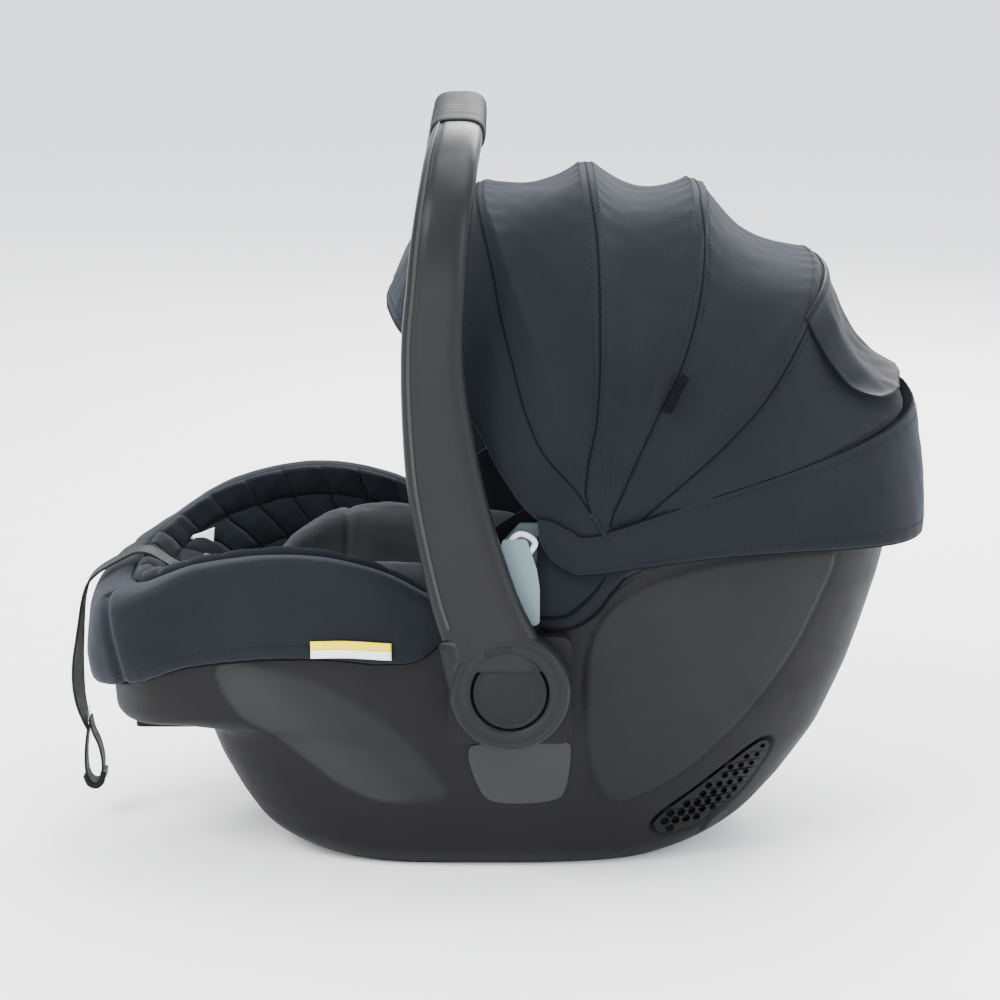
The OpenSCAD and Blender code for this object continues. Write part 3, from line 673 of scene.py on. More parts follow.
def shell_mesh():
    angles = even_angles(600)
    t = np.concatenate([np.linspace(0, 0.05, 8, endpoint=False), np.linspace(0.05, 0.42, 56, endpoint=False),
                        np.linspace(0.42, 0.60, 40, endpoint=False), np.linspace(0.60, 1, 44)])
    g = shell_point(angles[None, :], t[:, None])
    n = grid_normals(g, wrap_cols=True)
    centre = np.array([0, 0, 0.14])
    flip = np.sign(((g - centre) * n).sum(-1).mean())
    n = n * flip
    relief, panel_highlight, vent_shade = shell_relief(g[..., 0], g[..., 2], g[..., 1])
    outer = g + n * relief[..., None]
    lip, inner = g - n * SHELL_THICK / 2, g - n * SHELL_THICK
    inner[..., 2] = np.maximum(inner[..., 2], g[..., 2].min() + 0.0002)
    edge_top, edge_low = lip[-1:] + [0, 0, 0.0004], lip[:1] - [0, 0, 0.0001]
    skin = np.concatenate([outer, edge_top, inner[::-1][::3], edge_low])
    rings = np.transpose(skin, (1, 0, 2))
    extra = len(skin) - len(outer)
    faces = grid_faces(len(angles), len(skin), True, True)
    shell = make("shell", rings.reshape(-1, 3), faces, shell_skin(), "seat")
    tail = np.zeros((extra, len(angles)))
    # painted highlight and painted shade, carried as point attributes for the shell material
    attribute(shell, "panel_highlight", np.concatenate([panel_highlight, tail]).T)
    attribute(shell, "vent_shade", np.concatenate([vent_shade, tail]).T)
    outward(shell, merge=0)
    stands_for("outer_shell")
    return shell


def fan_patch(name, outline, side, heights, material, body="seat", inner=18):
    """Thin moulded piece on the shell's side, from its outline inwards; heights are its edge steps."""
    centre = outline.mean(0)
    scales = [1.0, 1.0, 0.985, 0.965] + list(np.linspace(0.94, 0.04, inner))
    outs = [-0.0006, heights * 0.5, heights * 0.92, heights] + [heights] * inner
    points, n = [], len(outline)
    for s, out in zip(scales, outs):
        ring = centre + (outline - centre) * s
        points.append(shell_side(ring[:, 0], ring[:, 1], out, side))
    points = np.array(points)
    faces = grid_faces(len(scales), n, wrap_cols=True)
    faces.append([(len(scales) - 1) * n + k for k in range(n)])
    faces.append(list(range(n - 1, -1, -1)))
    return outward(make(name, points.reshape(-1, 3), faces, material, body))


def vent_plate(word, side):
    """Plate with round holes that shrink towards its upper end."""
    name = "vent_plate_" + word
    curve = bpy.data.curves.new(name, "CURVE")
    curve.dimensions = "2D"
    curve.fill_mode = "BOTH"
    loops = [rounded([[116, 34], [118, 43], [151, 67], [197, 102], [208, 102], [209, 91], [184, 52],
                      [167, 45], [152, 30], [123, 26]], 3)]
    a = np.linspace(0, 2 * np.pi, 20, endpoint=False)
    ring = np.stack([np.cos(a), np.sin(a)], 1)
    for i in range(-2, 16):
        for j in range(0, 13):
            c = np.array([121 + i * 8.6 + (j % 2) * 4.3, 31.5 + j * 7.3]) * MM
            r = (3.7 - 0.019 * (c[0] / MM - 118)) * MM
            if outline_distance(c[0], c[1], loops[0]) < -r - 0.0005:
                loops.append(c + ring * r)
    for loop in loops:
        spline = curve.splines.new("POLY")
        spline.points.add(len(loop) - 1)
        spline.use_cyclic_u = True
        for point, (x, z) in zip(spline.points, loop):
            point.co = (x, z, 0, 1)
    curve.extrude = 0.0007
    flat = bpy.data.objects.new(name + "_flat", curve)
    bpy.context.scene.collection.objects.link(flat)
    mesh = bpy.data.meshes.new_from_object(flat.evaluated_get(bpy.context.evaluated_depsgraph_get()))
    bpy.data.objects.remove(flat)
    p = np.array([v.co for v in mesh.vertices])
    placed = shell_side(p[:, 0], p[:, 1], -0.0004 + p[:, 2], side)
    plate = make(name, placed, [list(f.vertices) for f in mesh.polygons], dark_plastic, "seat", smooth=False)
    outward(plate)
    stands_for("vent_grille_" + word)
    return plate


shell_mesh()
for word, side in SIDES:
    vent_plate(word, side)
    film = fan_patch("blank_label_" + word, rounded([[-33, 110], [-19, 114.5], [48, 117], [51, 107], [47, 70],
                                                    [37, 61.5], [-8, 59.5], [-21, 69]], 4), side, 0.0007,
                     label_film)
    stands_for("side_label_" + word)

# ---------------------------------------------------------------- cover over the rim


def catmull(points, count, closed=False):
    """Smooth path through points, evenly spaced along its length."""
    p = np.asarray(points, float)
    if closed:
        p = np.concatenate([p[-1:], p, p[:2]])
    else:
        p = np.concatenate([2 * p[:1] - p[1:2], p, 2 * p[-1:] - p[-2:-1]])
    out = []
    for i in range(1, len(p) - 2):
        f = np.linspace(0, 1, 24, endpoint=False)[:, None]
        a, b, c, d = p[i - 1], p[i], p[i + 1], p[i + 2]
        out.append(0.5 * (2 * b + (c - a) * f + (2 * a - 5 * b + 4 * c - d) * f**2
                          + (3 * b - 3 * c + d - a) * f**3))
    out = np.concatenate(out + ([] if closed else [p[-2:-1]]))
    if closed:
        out = np.concatenate([out, out[:1]])
    run = run_along(out)
    where = np.linspace(0, run[-1], count, endpoint=not closed)
    return np.stack([np.interp(where, run, out[:, k]) for k in range(out.shape[1])], 1)


def border_thick(x):
    return np.interp(x, PAD_OUT[:, 0], PAD_OUT[:, 1])


def hem_share(x):
    return np.interp(x, HEM[:, 0], HEM[:, 1])


def border_mesh():
    """Padded cover: up from its elastic hem, over the rim and down inside."""
    angles = even_angles(760)
    x0, _ = plan(angles, SHELL[-1, 1], SHELL[-1, 2], SHELL[-1, 3])
    kernel = np.hanning(23)
    kernel /= kernel.sum()
    share = hem_share(x0)
    hem = np.convolve(np.concatenate([share[-11:], share, share[:11]]), kernel, "valid")
    th = border_thick(x0)
    f = np.array([0, 0.02, 0.07, 0.16, 0.3, 0.45, 0.6, 0.75, 0.88, 1.0])
    puff = np.array([0.12, 0.48, 0.74, 0.90, 1.0, 1.03, 1.02, 0.99, 0.93, 0.80])
    rows = [(hem + (1 - hem) * v, th * p + 0.0007, 0 * th) for v, p in zip(f, puff)]
    one = np.ones_like(hem)
    # Over the rim and down inside: share of the thickness, inset, height over the rim
    for share, inset, lift in ((0.55, 0, 0.0042), (0.15, 0, 0.0056), (0, 0.0045, 0.0058), (0, 0.0112, 0.0050),
                               (0, 0.0146, 0.0026), (0, 0.0138, 0.0004), (0, -0.0007, 0.0004)):
        rows.append((one, th * share - inset, one * lift))
    rows += [(hem + (1 - hem) * v, one * 0.0007, 0 * th) for v in (0.8, 0.5, 0.2, 0.0)]
    control = np.stack([np.stack([t, out, up], -1) for t, out, up in rows])
    m = 72
    loops = np.zeros((len(angles), m, 3))
    for k in range(len(angles)):
        c = control[:, k].copy()
        c[:, 0] *= 0.12
        c = catmull(c, m, closed=True)
        c[:, 0] /= 0.12
        c[:, 0] = np.minimum(c[:, 0], 1)
        loops[k] = shell_point(np.full(m, angles[k]), c[:, 0], c[:, 1])
        loops[k, :, 2] += c[:, 2]
    n = grid_normals(np.transpose(loops, (1, 0, 2)), wrap_cols=True)
    n = np.transpose(n, (1, 0, 2))
    middle = loops.mean(1, keepdims=True)
    n *= np.sign(((loops - middle) * n).sum(-1).mean())
    x, y, z = loops[..., 0], loops[..., 1], loops[..., 2]
    low = (hem * rim(x0))[:, None]
    up_from_hem = z - low
    run = run_along(loops[:, 8])[:, None]
    pleat = np.sin(run * 2 * np.pi / 0.017 + 1.4 * ripple(loops * [1, 1, 0.2], 0.09, 3))
    move = 0.00012 * pleat * np.exp(-np.maximum(up_from_hem, 0) / 0.012)
    move += 0.0012 * ripple(loops * [0.6, 0.6, 1.3], 0.11, 5)
    move += 0.00025 * ripple(loops * [1, 1, 1.6], 0.035, 6)
    corner = np.array([[-316, 226], [-315, 214], [-311, 192], [-305, 172], [-300, 150]]) * MM
    move -= 0.0028 * np.exp(-(line_distance(x, z, corner) / 0.0032) ** 2) * (np.abs(y) > 0.08)
    loops = loops + n * move[..., None]
    cover = ring_solid("cover", loops, slate, "seat")
    stands_for("cover_border")
    return angles, hem, th


border_angles, border_hem, border_th = border_mesh()


def on_border(x, z, side, out=0.0):
    """Point on the cover's outer face at X and Z."""
    return shell_side(x, z, border_thick(np.asarray(x, float)) + out, side)


hem_line = shell_point(border_angles, border_hem, border_th * 0.30 + 0.0010)
hem_line[:, 2] += 0.0010
thread("cover_hem_piping", catmull(hem_line, 900, closed=True), 0.0014, seam_thread, "seat", closed=True)
hem_stitch = shell_point(border_angles, np.minimum(border_hem + 0.045 * (1 - border_hem) / 0.27, 1),
                         border_th * 0.86 + 0.0016)
for word, side in SIDES:
    near = (np.sign(hem_stitch[:, 1]) == side) & (np.abs(hem_stitch[:, 1]) > 0.02)
    row = hem_stitch[near & (hem_stitch[:, 0] < -0.062)]
    row = row[np.argsort(row[:, 0])]
    stitches("hem_stitches_" + word, row, slate, "seat", radius=0.0003)
    seam = np.array([[-313, 205], [-312.5, 200], [-311, 190], [-307, 176], [-303, 164]], float) * MM
    seam = catmull(seam, 40)
    seam = on_border(seam[:, 0], seam[:, 1], side, -0.0020)
    thread("corner_seam_" + word, seam, 0.0009, seam_thread, "seat")
    for tag, z, colour in (("upper", 0.1978, tag_yellow), ("lower", 0.1908, tag_white)):
        x = np.linspace(-0.150, -0.088, 24)
        grids = []
        for out in (0.0021, 0.0012):
            grids.append(np.array([on_border(x, np.full_like(x, z + dz) + 0.0006 * np.sin(x * 90), side, out)
                                   for dz in (-0.0036, -0.0018, 0, 0.0018, 0.0036)]))
        piece = cloth_panel(f"plain_{tag}_strip_{word}", grids[0], grids[1], colour, "seat")
        if tag == "upper":
            stands_for("warning_label_" + word)

# ---------------------------------------------------------------- quilted lining of the tub


def quilt_mesh():
    """Quilted pad that lines the tub, with its stitched channels."""
    angles = even_angles(960)
    h = np.concatenate([np.linspace(0, 0.55, 60, endpoint=False), np.linspace(0.55, 1, 96)])
    top = tub_point(angles[None, :], h[:, None], 0.0225, 0.004)
    n = grid_normals(top, wrap_cols=True)
    n *= -np.sign(((top - top.mean((0, 1))) * n).sum(-1).mean())
    x, y, z = top[..., 0], top[..., 1], top[..., 2]
    depth = rim(x) - z
    edge = top[-1]
    run = run_along(edge)
    start = run[np.argmin(np.abs(edge[:, 0] + 0.125) + (edge[:, 1] < 0))]
    pitch = run[-1] / 48
    s = (run[None, :] - start) / pitch
    across = np.abs(np.sin(np.pi * s))
    rows = np.array([-0.018, 0.016, 0.048, 0.080, 0.112, 0.144, 0.176, 0.208, 0.241, 0.30])
    i = np.clip(np.searchsorted(rows, depth) - 1, 0, len(rows) - 2)
    g = (depth - rows[i]) / (rows[i + 1] - rows[i])
    down = np.abs(np.sin(np.pi * np.clip(g, 0, 1)))
    flat = step((z - 0.075) / 0.03)
    puff = 0.0072 * (across ** 0.30) * (down ** 0.32) * flat
    crease = 0.0009 * ripple(top * [1.6, 1.6, 0.8], 0.05, 11) + 0.0005 * ripple(top, 0.018, 12)
    pinch = 0.0006 * np.sin(run[None, :] * 2 * np.pi / 0.006) * flat
    pinch = pinch * np.exp(-(np.minimum(down, 0.6) / 0.2) ** 2)
    inner = top + n * (puff + crease + pinch - 0.0035)[..., None]
    back = tub_point(angles[None, :], h[:, None], 0.0134, 0.002)
    roll = (inner[-1:] + back[-1:]) / 2 + [0, 0, 0.0035]
    skin = np.concatenate([inner, roll, back[::-1][::4], back[:1]])
    cols = len(angles)
    faces = grid_faces(len(skin), cols, wrap_cols=True)
    last = (len(skin) - 1) * cols
    faces += [list(range(cols)), list(range(last + cols - 1, last - 1, -1))]
    quilt = outward(make("quilted_lining", skin.reshape(-1, 3), faces, quilt_cloth, "seat"))
    stands_for("seat_pad")
    for r, level in enumerate((0.016, 0.048, 0.080)):
        j, k = np.argmin(np.abs(depth - level), axis=0), np.arange(cols)
        line = catmull((inner[j, k] + n[j, k] * 0.0007)[::3], 900, closed=True)
        thread(f"quilt_seam_row_{r + 1}", line, 0.0008, seam_thread, "seat", closed=True, sides=6)
    for r, k in enumerate(np.where(np.diff(np.floor(s[0])) > 0)[0]):
        keep = (depth[:, k] > 0.004) & (z[:, k] > 0.10)
        line = inner[keep, k] + n[keep, k] * 0.0007
        if len(line) > 8:
            thread(f"quilt_seam_{r + 1}", line[::2], 0.0008, seam_thread, "seat", sides=6)


quilt_mesh()

# ---------------------------------------------------------------- soft pads, filled by cloth simulation


def pad_from(node, name, pressure, cap, voxel):
    """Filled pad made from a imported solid."""
    obj = bpy.data.objects.new(name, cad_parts[node].data.copy())
    bpy.context.scene.collection.objects.link(obj)
    inflate(obj, pressure, cap, voxel)
    obj.data.materials.clear()
    obj.data.materials.append(insert_cloth)
    obj.data.polygons.foreach_set("material_index", [0] * len(obj.data.polygons))
    return obj


def coordinates(obj):
    co = np.zeros(len(obj.data.vertices) * 3, np.float32)
    obj.data.vertices.foreach_get("co", co)
    return co.reshape(-1, 3).astype(float)


def normals(obj):
    n = np.zeros(len(obj.data.vertices) * 3, np.float32)
    obj.data.vertex_normals.foreach_get("vector", n)
    return n.reshape(-1, 3).astype(float)


def push(obj, amount):
    co = coordinates(obj) + normals(obj) * np.asarray(amount)[:, None]
    obj.data.vertices.foreach_set("co", co.astype(np.float32).ravel())
    obj.data.update()


def finish_pad(obj, node):
    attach(obj, "seat")
    stands_for(node)


INSERT = np.array([[-190, 66, 206, 176], [-176, 86, 220, 166], [-145, 106, 234, 142], [-105, 115, 239, 110],
                   [-60, 117, 237, 82], [-25, 117, 233, 73], [20, 115, 226, 73], [46, 108, 216, 79],
                   [60, 96, 204, 88]], float)


def insert_form():
    """Smooth body of the seat insert, before it is filled."""
    table = catmull(INSERT, 90) * MM
    b = np.linspace(0, np.pi, 40)
    rings = []
    for x, half, tip, low in table:
        thick, base = 0.032, 0.016
        outer = np.stack([half * np.cos(b), low + (tip - low) * (1 - np.sin(b))], 1)
        rise = tip - low - base - 0.002
        inner = np.stack([(half - thick) * np.cos(b), low + base + rise * (1 - np.sin(b))], 1)
        crown = np.linspace(0, np.pi, 12)[1:-1]
        right = np.stack([-half + thick / 2 - thick / 2 * np.cos(crown), tip + 0.009 * np.sin(crown)], 1)
        left = right[::-1] * [-1, 1]
        loop = np.concatenate([outer, right, inner[::-1], left])
        rings.append(np.stack([np.full(len(loop), x), loop[:, 0], loop[:, 1]], 1))
    return tube("seat_insert_pad", rings, insert_cloth)


insert = insert_form()
inflate(insert, 3.0, 0.004, 0.0045)
p = coordinates(insert)
tip = step((p[:, 2] - 0.19) / 0.03)
grooves = -0.0035 * np.exp(-((np.abs(p[:, 1]) - 0.078) / 0.0035) ** 2) * (1 - tip)
grooves += -0.003 * np.exp(-((p[:, 0] + 0.045) / 0.0035) ** 2) * (np.abs(p[:, 1]) < 0.078)
grooves += -0.0022 * np.exp(-((np.abs(p[:, 0] + 0.06) - 0.072) / 0.003) ** 2) * tip
push(insert, grooves + 0.0009 * ripple(p, 0.05, 21) + 0.0004 * ripple(p, 0.017, 22))
finish_pad(insert, "seat_insert")

pillow = pad_from("head_pillow", "head_pillow_pad", 4.0, 0.006, 0.0045)
p = coordinates(pillow)
push(pillow, -0.0025 * np.exp(-((np.abs(p[:, 1]) - 0.05) / 0.003) ** 2) + 0.0007 * ripple(p, 0.04, 31))
finish_pad(pillow, "head_pillow")

for word, side in SIDES:
    pad = pad_from("shoulder_pad_" + word, "shoulder_cover_" + word, 3.0, 0.003, 0.003)
    p = coordinates(pad)
    push(pad, -0.0012 * np.exp(-((np.abs(p[:, 1] - side * 0.046) - 0.0205) / 0.0014) ** 2)
         + 0.0005 * ripple(p, 0.03, 41 + side))
    finish_pad(pad, "shoulder_pad_" + word)
pad = pad_from("crotch_pad", "crotch_cover", 3.0, 0.0025, 0.0028)
p = coordinates(pad)
push(pad, -0.001 * np.exp(-((np.abs(p[:, 1]) - 0.0195) / 0.0014) ** 2) + 0.0004 * ripple(p, 0.025, 45))
finish_pad(pad, "crotch_pad")

# ---------------------------------------------------------------- webbing


def strip(name, path, sides, width, thick, material, body):
    """Flat webbing with thicker edges: path points, unit vectors across it."""
    path, sides = np.asarray(path, float), np.asarray(sides, float)
    along = unit(np.gradient(path, axis=0))
    up = unit(np.cross(along, sides))
    u = np.array([-0.5, -0.49, -0.45, -0.40, -0.2, 0, 0.2, 0.40, 0.45, 0.49, 0.5])
    v = np.array([0, 0.42, 0.52, 0.40, 0.38, 0.38, 0.38, 0.40, 0.52, 0.42, 0])
    u = np.concatenate([u, u[-2:0:-1]])
    v = np.concatenate([v, -v[-2:0:-1]])
    rings = path[:, None] + width * u[None, :, None] * sides[:, None] + thick * v[None, :, None] * up[:, None]
    return tube(name, rings, material, body)


BELT_WIDE, BELT_THICK = 24 * MM, 2.2 * MM


def flat_path(points, y, count):
    """Smooth path in a plane of constant Y, and the unit vectors across it."""
    p = catmull(np.array(points, float) * MM, count)
    return np.stack([p[:, 0], np.full(len(p), y), p[:, 1]], 1), np.tile([0.0, 1.0, 0.0], (len(p), 1))


SHOULDER = [[262, 270], [247, 280], [231, 257], [190, 197], [136, 140], [95, 106], [58, 101], [20, 99],
            [-15, 112], [-40, 138], [-62, 157]]
for word, side in SIDES:
    path, across = flat_path(SHOULDER, side * 0.046, 160)
    path[:, 1] += 0.002 * np.sin(path[:, 0] * 22)
    belt = strip("shoulder_webbing_" + word, path, across, BELT_WIDE, BELT_THICK, webbing, "seat")
    stands_for("shoulder_strap_" + word)
path, across = flat_path([[-82, 104], [-84, 122], [-84, 140]], 0, 30)
belt = strip("crotch_webbing", path, across, 0.030, BELT_THICK, webbing, "seat")
stands_for("crotch_strap")

STRAP = [[-266, 216], [-278, 223], [-289, 229.5], [-300, 230.5], [-311, 225.5], [-322, 219.5], [-332, 213],
         [-340, 204], [-344.5, 190], [-347, 173], [-349, 156], [-351, 138], [-351.5, 119], [-350, 102],
         [-346.5, 88], [-343.5, 80]]
path, across = flat_path(STRAP, 0, 180)
fall = step((0.205 - path[:, 2]) / 0.12) * (path[:, 0] < -0.335)
turn = 0.42 * np.sin(np.pi * np.clip(np.linspace(-0.5, 1, len(path)), 0, 1)) * fall
across = np.stack([np.sin(turn), np.cos(turn), 0 * turn], 1)
path[:, 1] += 0.004 * fall
adjuster = strip("adjuster_webbing", path, across, BELT_WIDE, BELT_THICK, webbing, "seat")
stands_for("adjuster_strap")
loop_path, _ = flat_path([[-343.5, 82], [-345.4, 70], [-346.6, 56], [-346, 42], [-342.5, 34.5], [-337, 33.5],
                          [-333.6, 40], [-332.8, 52], [-335.5, 66], [-340, 77], [-342.2, 88]], path[-1, 1], 110)
tip_path, _ = flat_path([[-347, 40], [-343.8, 32.6], [-338, 30.6], [-333.4, 35], [-332.2, 43]], path[-1, 1], 40)
loop_side = across[-1] * [1, 1, 0]
sewn_loop = strip("adjuster_loop", loop_path, np.tile(loop_side, (110, 1)), 0.018, 0.0018, webbing, "seat")
tip = strip("loop_tip", tip_path, np.tile(loop_side, (40, 1)), 0.020, 0.0044, dark_plastic, "seat")
stands_for("strap_loop")
sewn = []
for s, e in ((-1, -1), (1, -1), (1, 1), (-1, 1), (-1, -1), (1, 1)):
    sewn.append(path[-6] + across[-1] * 0.008 * s + np.array([0.0004, 0, 0.004 + 0.006 * e])
                + np.cross([0, 0, -1], across[-1]) * 0.0021)
sewn_box = stitches("loop_stitching", np.array(sewn), tag_white, "seat", 0.0016, 0.0009, 0.0003)

# ---------------------------------------------------------------- carry handle
HUB = (0.0025, 0.173)
BAR_HALF, BAR_CORNER, GRIP_HALF = 0.012, 0.68, 0.100
LEG = np.array([[209, 190, -5, 80], [209, 212, -12, 74], [209, 243, -24, 68], [209, 290, -37, 62],
                [209, 330, -45.5, 58], [209, 370, -51, 53], [209, 411, -54.5, 48], [209, 445, -54.7, 46],
                [208.5, 479, -52, 44.5], [204.5, 505, -50, 43.5], [196, 530, -47, 42.5], [180, 550, -44, 41.5],
                [157, 565, -41.5, 40.5], [128, 574.5, -39, 39.5], [100, 578.5, -37.5, 38.5], [64, 580, -37, 38],
                [30, 580, -37, 38], [0, 580, -37, 38]], float)


def handle_rings(grow, from_y=1.0, sides=72, count=420):
    """Rings of the handle from one hub over the bar to the other."""
    whole = np.concatenate([LEG, LEG[-2::-1] * [-1, 1, 1, 1]]) * MM
    p = catmull(whole, count)
    keep = np.abs(p[:, 0]) <= from_y
    d = unit(np.gradient(p[:, :2], axis=0))
    normal = np.stack([-d[:, 1], d[:, 0]], 1)
    a = np.linspace(0, 2 * np.pi, sides, endpoint=False)
    u = (p[:, 3, None] / 2 + grow) * signed(np.cos(a), BAR_CORNER)
    v = (BAR_HALF + grow) * signed(np.sin(a), BAR_CORNER)
    rings = np.stack([p[:, 2, None] + u, p[:, 0, None] + normal[:, :1] * v,
                      p[:, 1, None] + normal[:, 1:] * v], -1)
    return rings[keep], p[keep], normal[keep]


rings, line, normal = handle_rings(0.0)
sides = rings.shape[1]
a = np.linspace(0, 2 * np.pi, sides, endpoint=False)
centre = rings.mean(1, keepdims=True)
for mark in (2.05, 2 * np.pi - 2.05):
    dent = np.exp(-((a - mark) / 0.055) ** 2) * 0.0009
    rings += (centre - rings) / np.linalg.norm(centre - rings, axis=-1, keepdims=True) * dent[None, :, None]
bow = tube("handle_bow_shell", rings, handle_plastic, "handle")
stands_for("handle_bow")
# thin trim strips in the lighter plastic paint the highlight along the handle's edges
for k, mark in (("outer", 2.28), ("inner", 2 * np.pi - 2.28)):
    _, line, normal = handle_rings(0.00015)
    c, s = signed(math.cos(mark), BAR_CORNER), signed(math.sin(mark), BAR_CORNER)
    at = np.stack([line[:, 2] + line[:, 3] / 2 * c, line[:, 0] + normal[:, 0] * BAR_HALF * s,
                   line[:, 1] + normal[:, 1] * BAR_HALF * s], 1)
    keep = line[:, 1] > 0.222
    out = unit(np.stack([np.full(len(line), c), normal[:, 0] * s, normal[:, 1] * s], 1))
    d = unit(np.gradient(at, axis=0))
    across = unit(np.cross(d, out))
    strip("handle_trim_" + k, (at + out * 0.0002)[keep], across[keep], 0.0032, 0.0012,
          trim_highlight_plastic, "handle")
WEB = rounded([[-52, 214], [-49.6, 203], [-46.8, 190], [-43.4, 176], [-40.6, 166], [-37, 168], [-34, 192],
               [-24, 206], [-20, 214]], 3)
WEB_SMALL = WEB.mean(0) + (WEB - WEB.mean(0)) * 0.985
for word, side in SIDES:
    rings = [[[x, side * y, z] for x, z in loop]
             for loop, y in ((WEB_SMALL, 0.1978), (WEB, 0.1990), (WEB, 0.2170), (WEB_SMALL, 0.2192))]
    tube("handle_web_" + word, rings, handle_plastic, "handle")
outer, line, _ = handle_rings(0.002, GRIP_HALF)
ends = 1 - np.exp(-((GRIP_HALF - np.abs(line[:, 0])) / 0.0025))
ribs = np.where(np.abs(line[:, 0]) < 0.082, 0.00045 * np.cos(line[:, 0] * 2 * np.pi / 0.0062), 0)
away = unit(outer - outer.mean(1, keepdims=True))
outer = outer + away * (ribs - 0.0018 * (1 - ends))[:, None, None]
inner = handle_rings(0.00025, GRIP_HALF)[0]
grip = np.concatenate([outer, inner[::-1]])
grip = outward(make("grip_cover", grip.reshape(-1, 3), grid_faces(len(grip), sides, True, True), grip_rubber,
                    "handle"))
stands_for("grip_sleeve")

for word, side in SIDES:
    hub = lathe("hub_ring_" + word, [[9.1, 197], [43, 197], [45, 197.5], [46, 199], [46, 213], [45.6, 216.5],
                                     [44.2, 219.2], [42.2, 220.8], [40.4, 221], [39.6, 220.4], [38.8, 220.4],
                                     [38, 221], [33, 221.2], [31.2, 220.8], [29.9, 219.8], [29.2, 218],
                                     [29.0, 204], [9.1, 204]], HUB, side, hub_plastic, "handle", 160)
    stands_for("handle_hub_" + word)
    disc = lathe("release_disc_" + word, [[0, 213.4], [13, 213.4], [13, 208.4], [22.6, 208.4],
                                          [22.6, 213.4],
                                          [28.3, 213.4], [28.4, 217.2], [27.9, 218.9], [26.9, 219.8],
                                          [25.6, 219.9], [24.8, 219.3], [24.0, 219.3], [23.2, 219.9],
                                          [16, 220.4], [0, 220.6]],
                 HUB, side, button_plastic, "button_" + word, 160)
    stands_for("release_button_" + word)
    a = np.linspace(math.radians(88), math.radians(122), 24)
    grids = []
    for y in (0.2219, 0.2206):
        grids.append(np.array([[[HUB[0] + r * math.cos(t), side * y, HUB[1] + r * math.sin(t)] for t in a]
                               for r in (32.6 * MM, 33.4 * MM, 36.5 * MM, 37.3 * MM)]))
    mark = cloth_panel("hub_index_" + word, grids[0], grids[1], button_plastic, "handle")
    modify(mark, "BEVEL", width=0.0004, segments=2)

# ---------------------------------------------------------------- canopy
PIVOT = (0.077, 0.285)
CENTRE = np.array([PIVOT[0], 0, PIVOT[1]])
POCKET = 6.5 * MM
BOW_A = [112.5, 93.0, 73.0, 47.0, 18.0]
BOW_R = np.array([261, 258, 255, 252, 250.5]) * MM
BOW_W = np.array([193.4, 190.8, 188.2, 185.6, 184.2]) * MM
DIP = np.array([15, 21, 22, 21]) * MM
CANOPY = ["canopy_1", "canopy_2", "canopy_3", "canopy_4", "seat"]
ARCH_N = 2 / 2.8


def dome(a, b, r, w):
    """Point on the canopy at angle a about the pivot and arch angle b."""
    q = r * signed(np.sin(b), ARCH_N)
    return np.stack(np.broadcast_arrays(PIVOT[0] + q * np.cos(a), w * signed(np.cos(b), ARCH_N),
                                        PIVOT[1] + q * np.sin(a)), -1)


# Distance from the pivot and how far each bow seam leans to the front there, in degrees
SWING = [np.array(rows, float) for rows in (
    [[0, 10], [43, 10.5], [77, 14.3], [112, 11], [145, 6.8], [175, 4.3], [215, 1.5], [261, 0]],
    [[0, 34], [20, 31], [37, 25], [54, 15], [81, 5], [112, 1.1], [157, -0.4], [213, -0.8], [258, 0]],
    [[0, 12], [13, 10], [32, 2], [69, -2.5], [105, -4.5], [138, -6], [183, -5], [218, -3.2], [255, 0]],
    [[0, -22], [26, -19], [43, -14], [72, -11], [105, -9.6], [133, -8.3], [161, -7], [187, -5], [220, -2.4],
     [252, 0]])]
# Distance from the pivot and how far the front edge is past the first bow, in degrees
VISOR_REACH = np.array([[0, 66], [21, 64], [37, 58], [57, 52], [77, 45], [100, 37], [146, 27], [200, 25.1],
                        [261, 25.1]], float)


def swing(k, b):
    """How far seam k turns towards the front near the pivot, in radians."""
    if k >= len(SWING):
        return 0 * b
    q = 260 * signed(np.sin(b), ARCH_N)
    return np.radians(hermite(SWING[k], q))


def skin(a, b):
    """Canopy cloth at an angle about the pivot: on the bows, sagging between them."""
    deg = np.degrees(a) + 0 * b
    r, w = np.interp(deg, BOW_A[::-1], BOW_R[::-1]), np.interp(deg, BOW_A[::-1], BOW_W[::-1])
    sag = 0 * deg
    for k in range(4):
        pocket = math.degrees(POCKET / 0.255) / (BOW_A[k] - BOW_A[k + 1])
        share = (deg - BOW_A[k + 1]) / (BOW_A[k] - BOW_A[k + 1])
        inside = np.clip((share - pocket) / (1 - 2 * pocket), 0, 1)
        uneven = np.abs(np.sin(b)) ** 0.9 * (1 + 0.15 * np.sin(3 * b + k))
        sag += DIP[k] * np.sin(np.pi * inside) ** 0.8 * uneven
    g = dome(a, b, r, w)
    q, across = np.abs(signed(np.sin(b), ARCH_N)) ** 1.8, signed(signed(np.cos(b), ARCH_N), 1.8)
    out = unit(np.stack(np.broadcast_arrays(q * np.cos(a), across, q * np.sin(a)), -1))
    return g - out * (0.9 * sag)[..., None]


def arch_angles(count):
    """Arch angles evenly spaced along the bow."""
    b = np.linspace(0.001, np.pi - 0.001, 8001)
    x, z = 0.19 * signed(np.cos(b), ARCH_N), 0.256 * signed(np.sin(b), ARCH_N)
    run = np.concatenate([[0], np.cumsum(np.hypot(np.diff(x), np.diff(z)))])
    return np.interp(np.linspace(0, run[-1], count), run, b)


ARCH = arch_angles(300)


def folds(p, seed, size):
    """Soft cloth folds: sharp creases between rounded swells."""
    sharp = 0.55 - np.abs(ripple(p, size, seed))
    return sharp + 0.35 * ripple(p, size * 0.45, seed + 1) + 0.12 * ripple(p, size * 0.18, seed + 2)


def away_normals(g):
    """Unit normals of a canopy grid, away from the pivot."""
    n = grid_normals(g)
    return n * np.sign(((g - CENTRE) * n).sum(-1).mean())


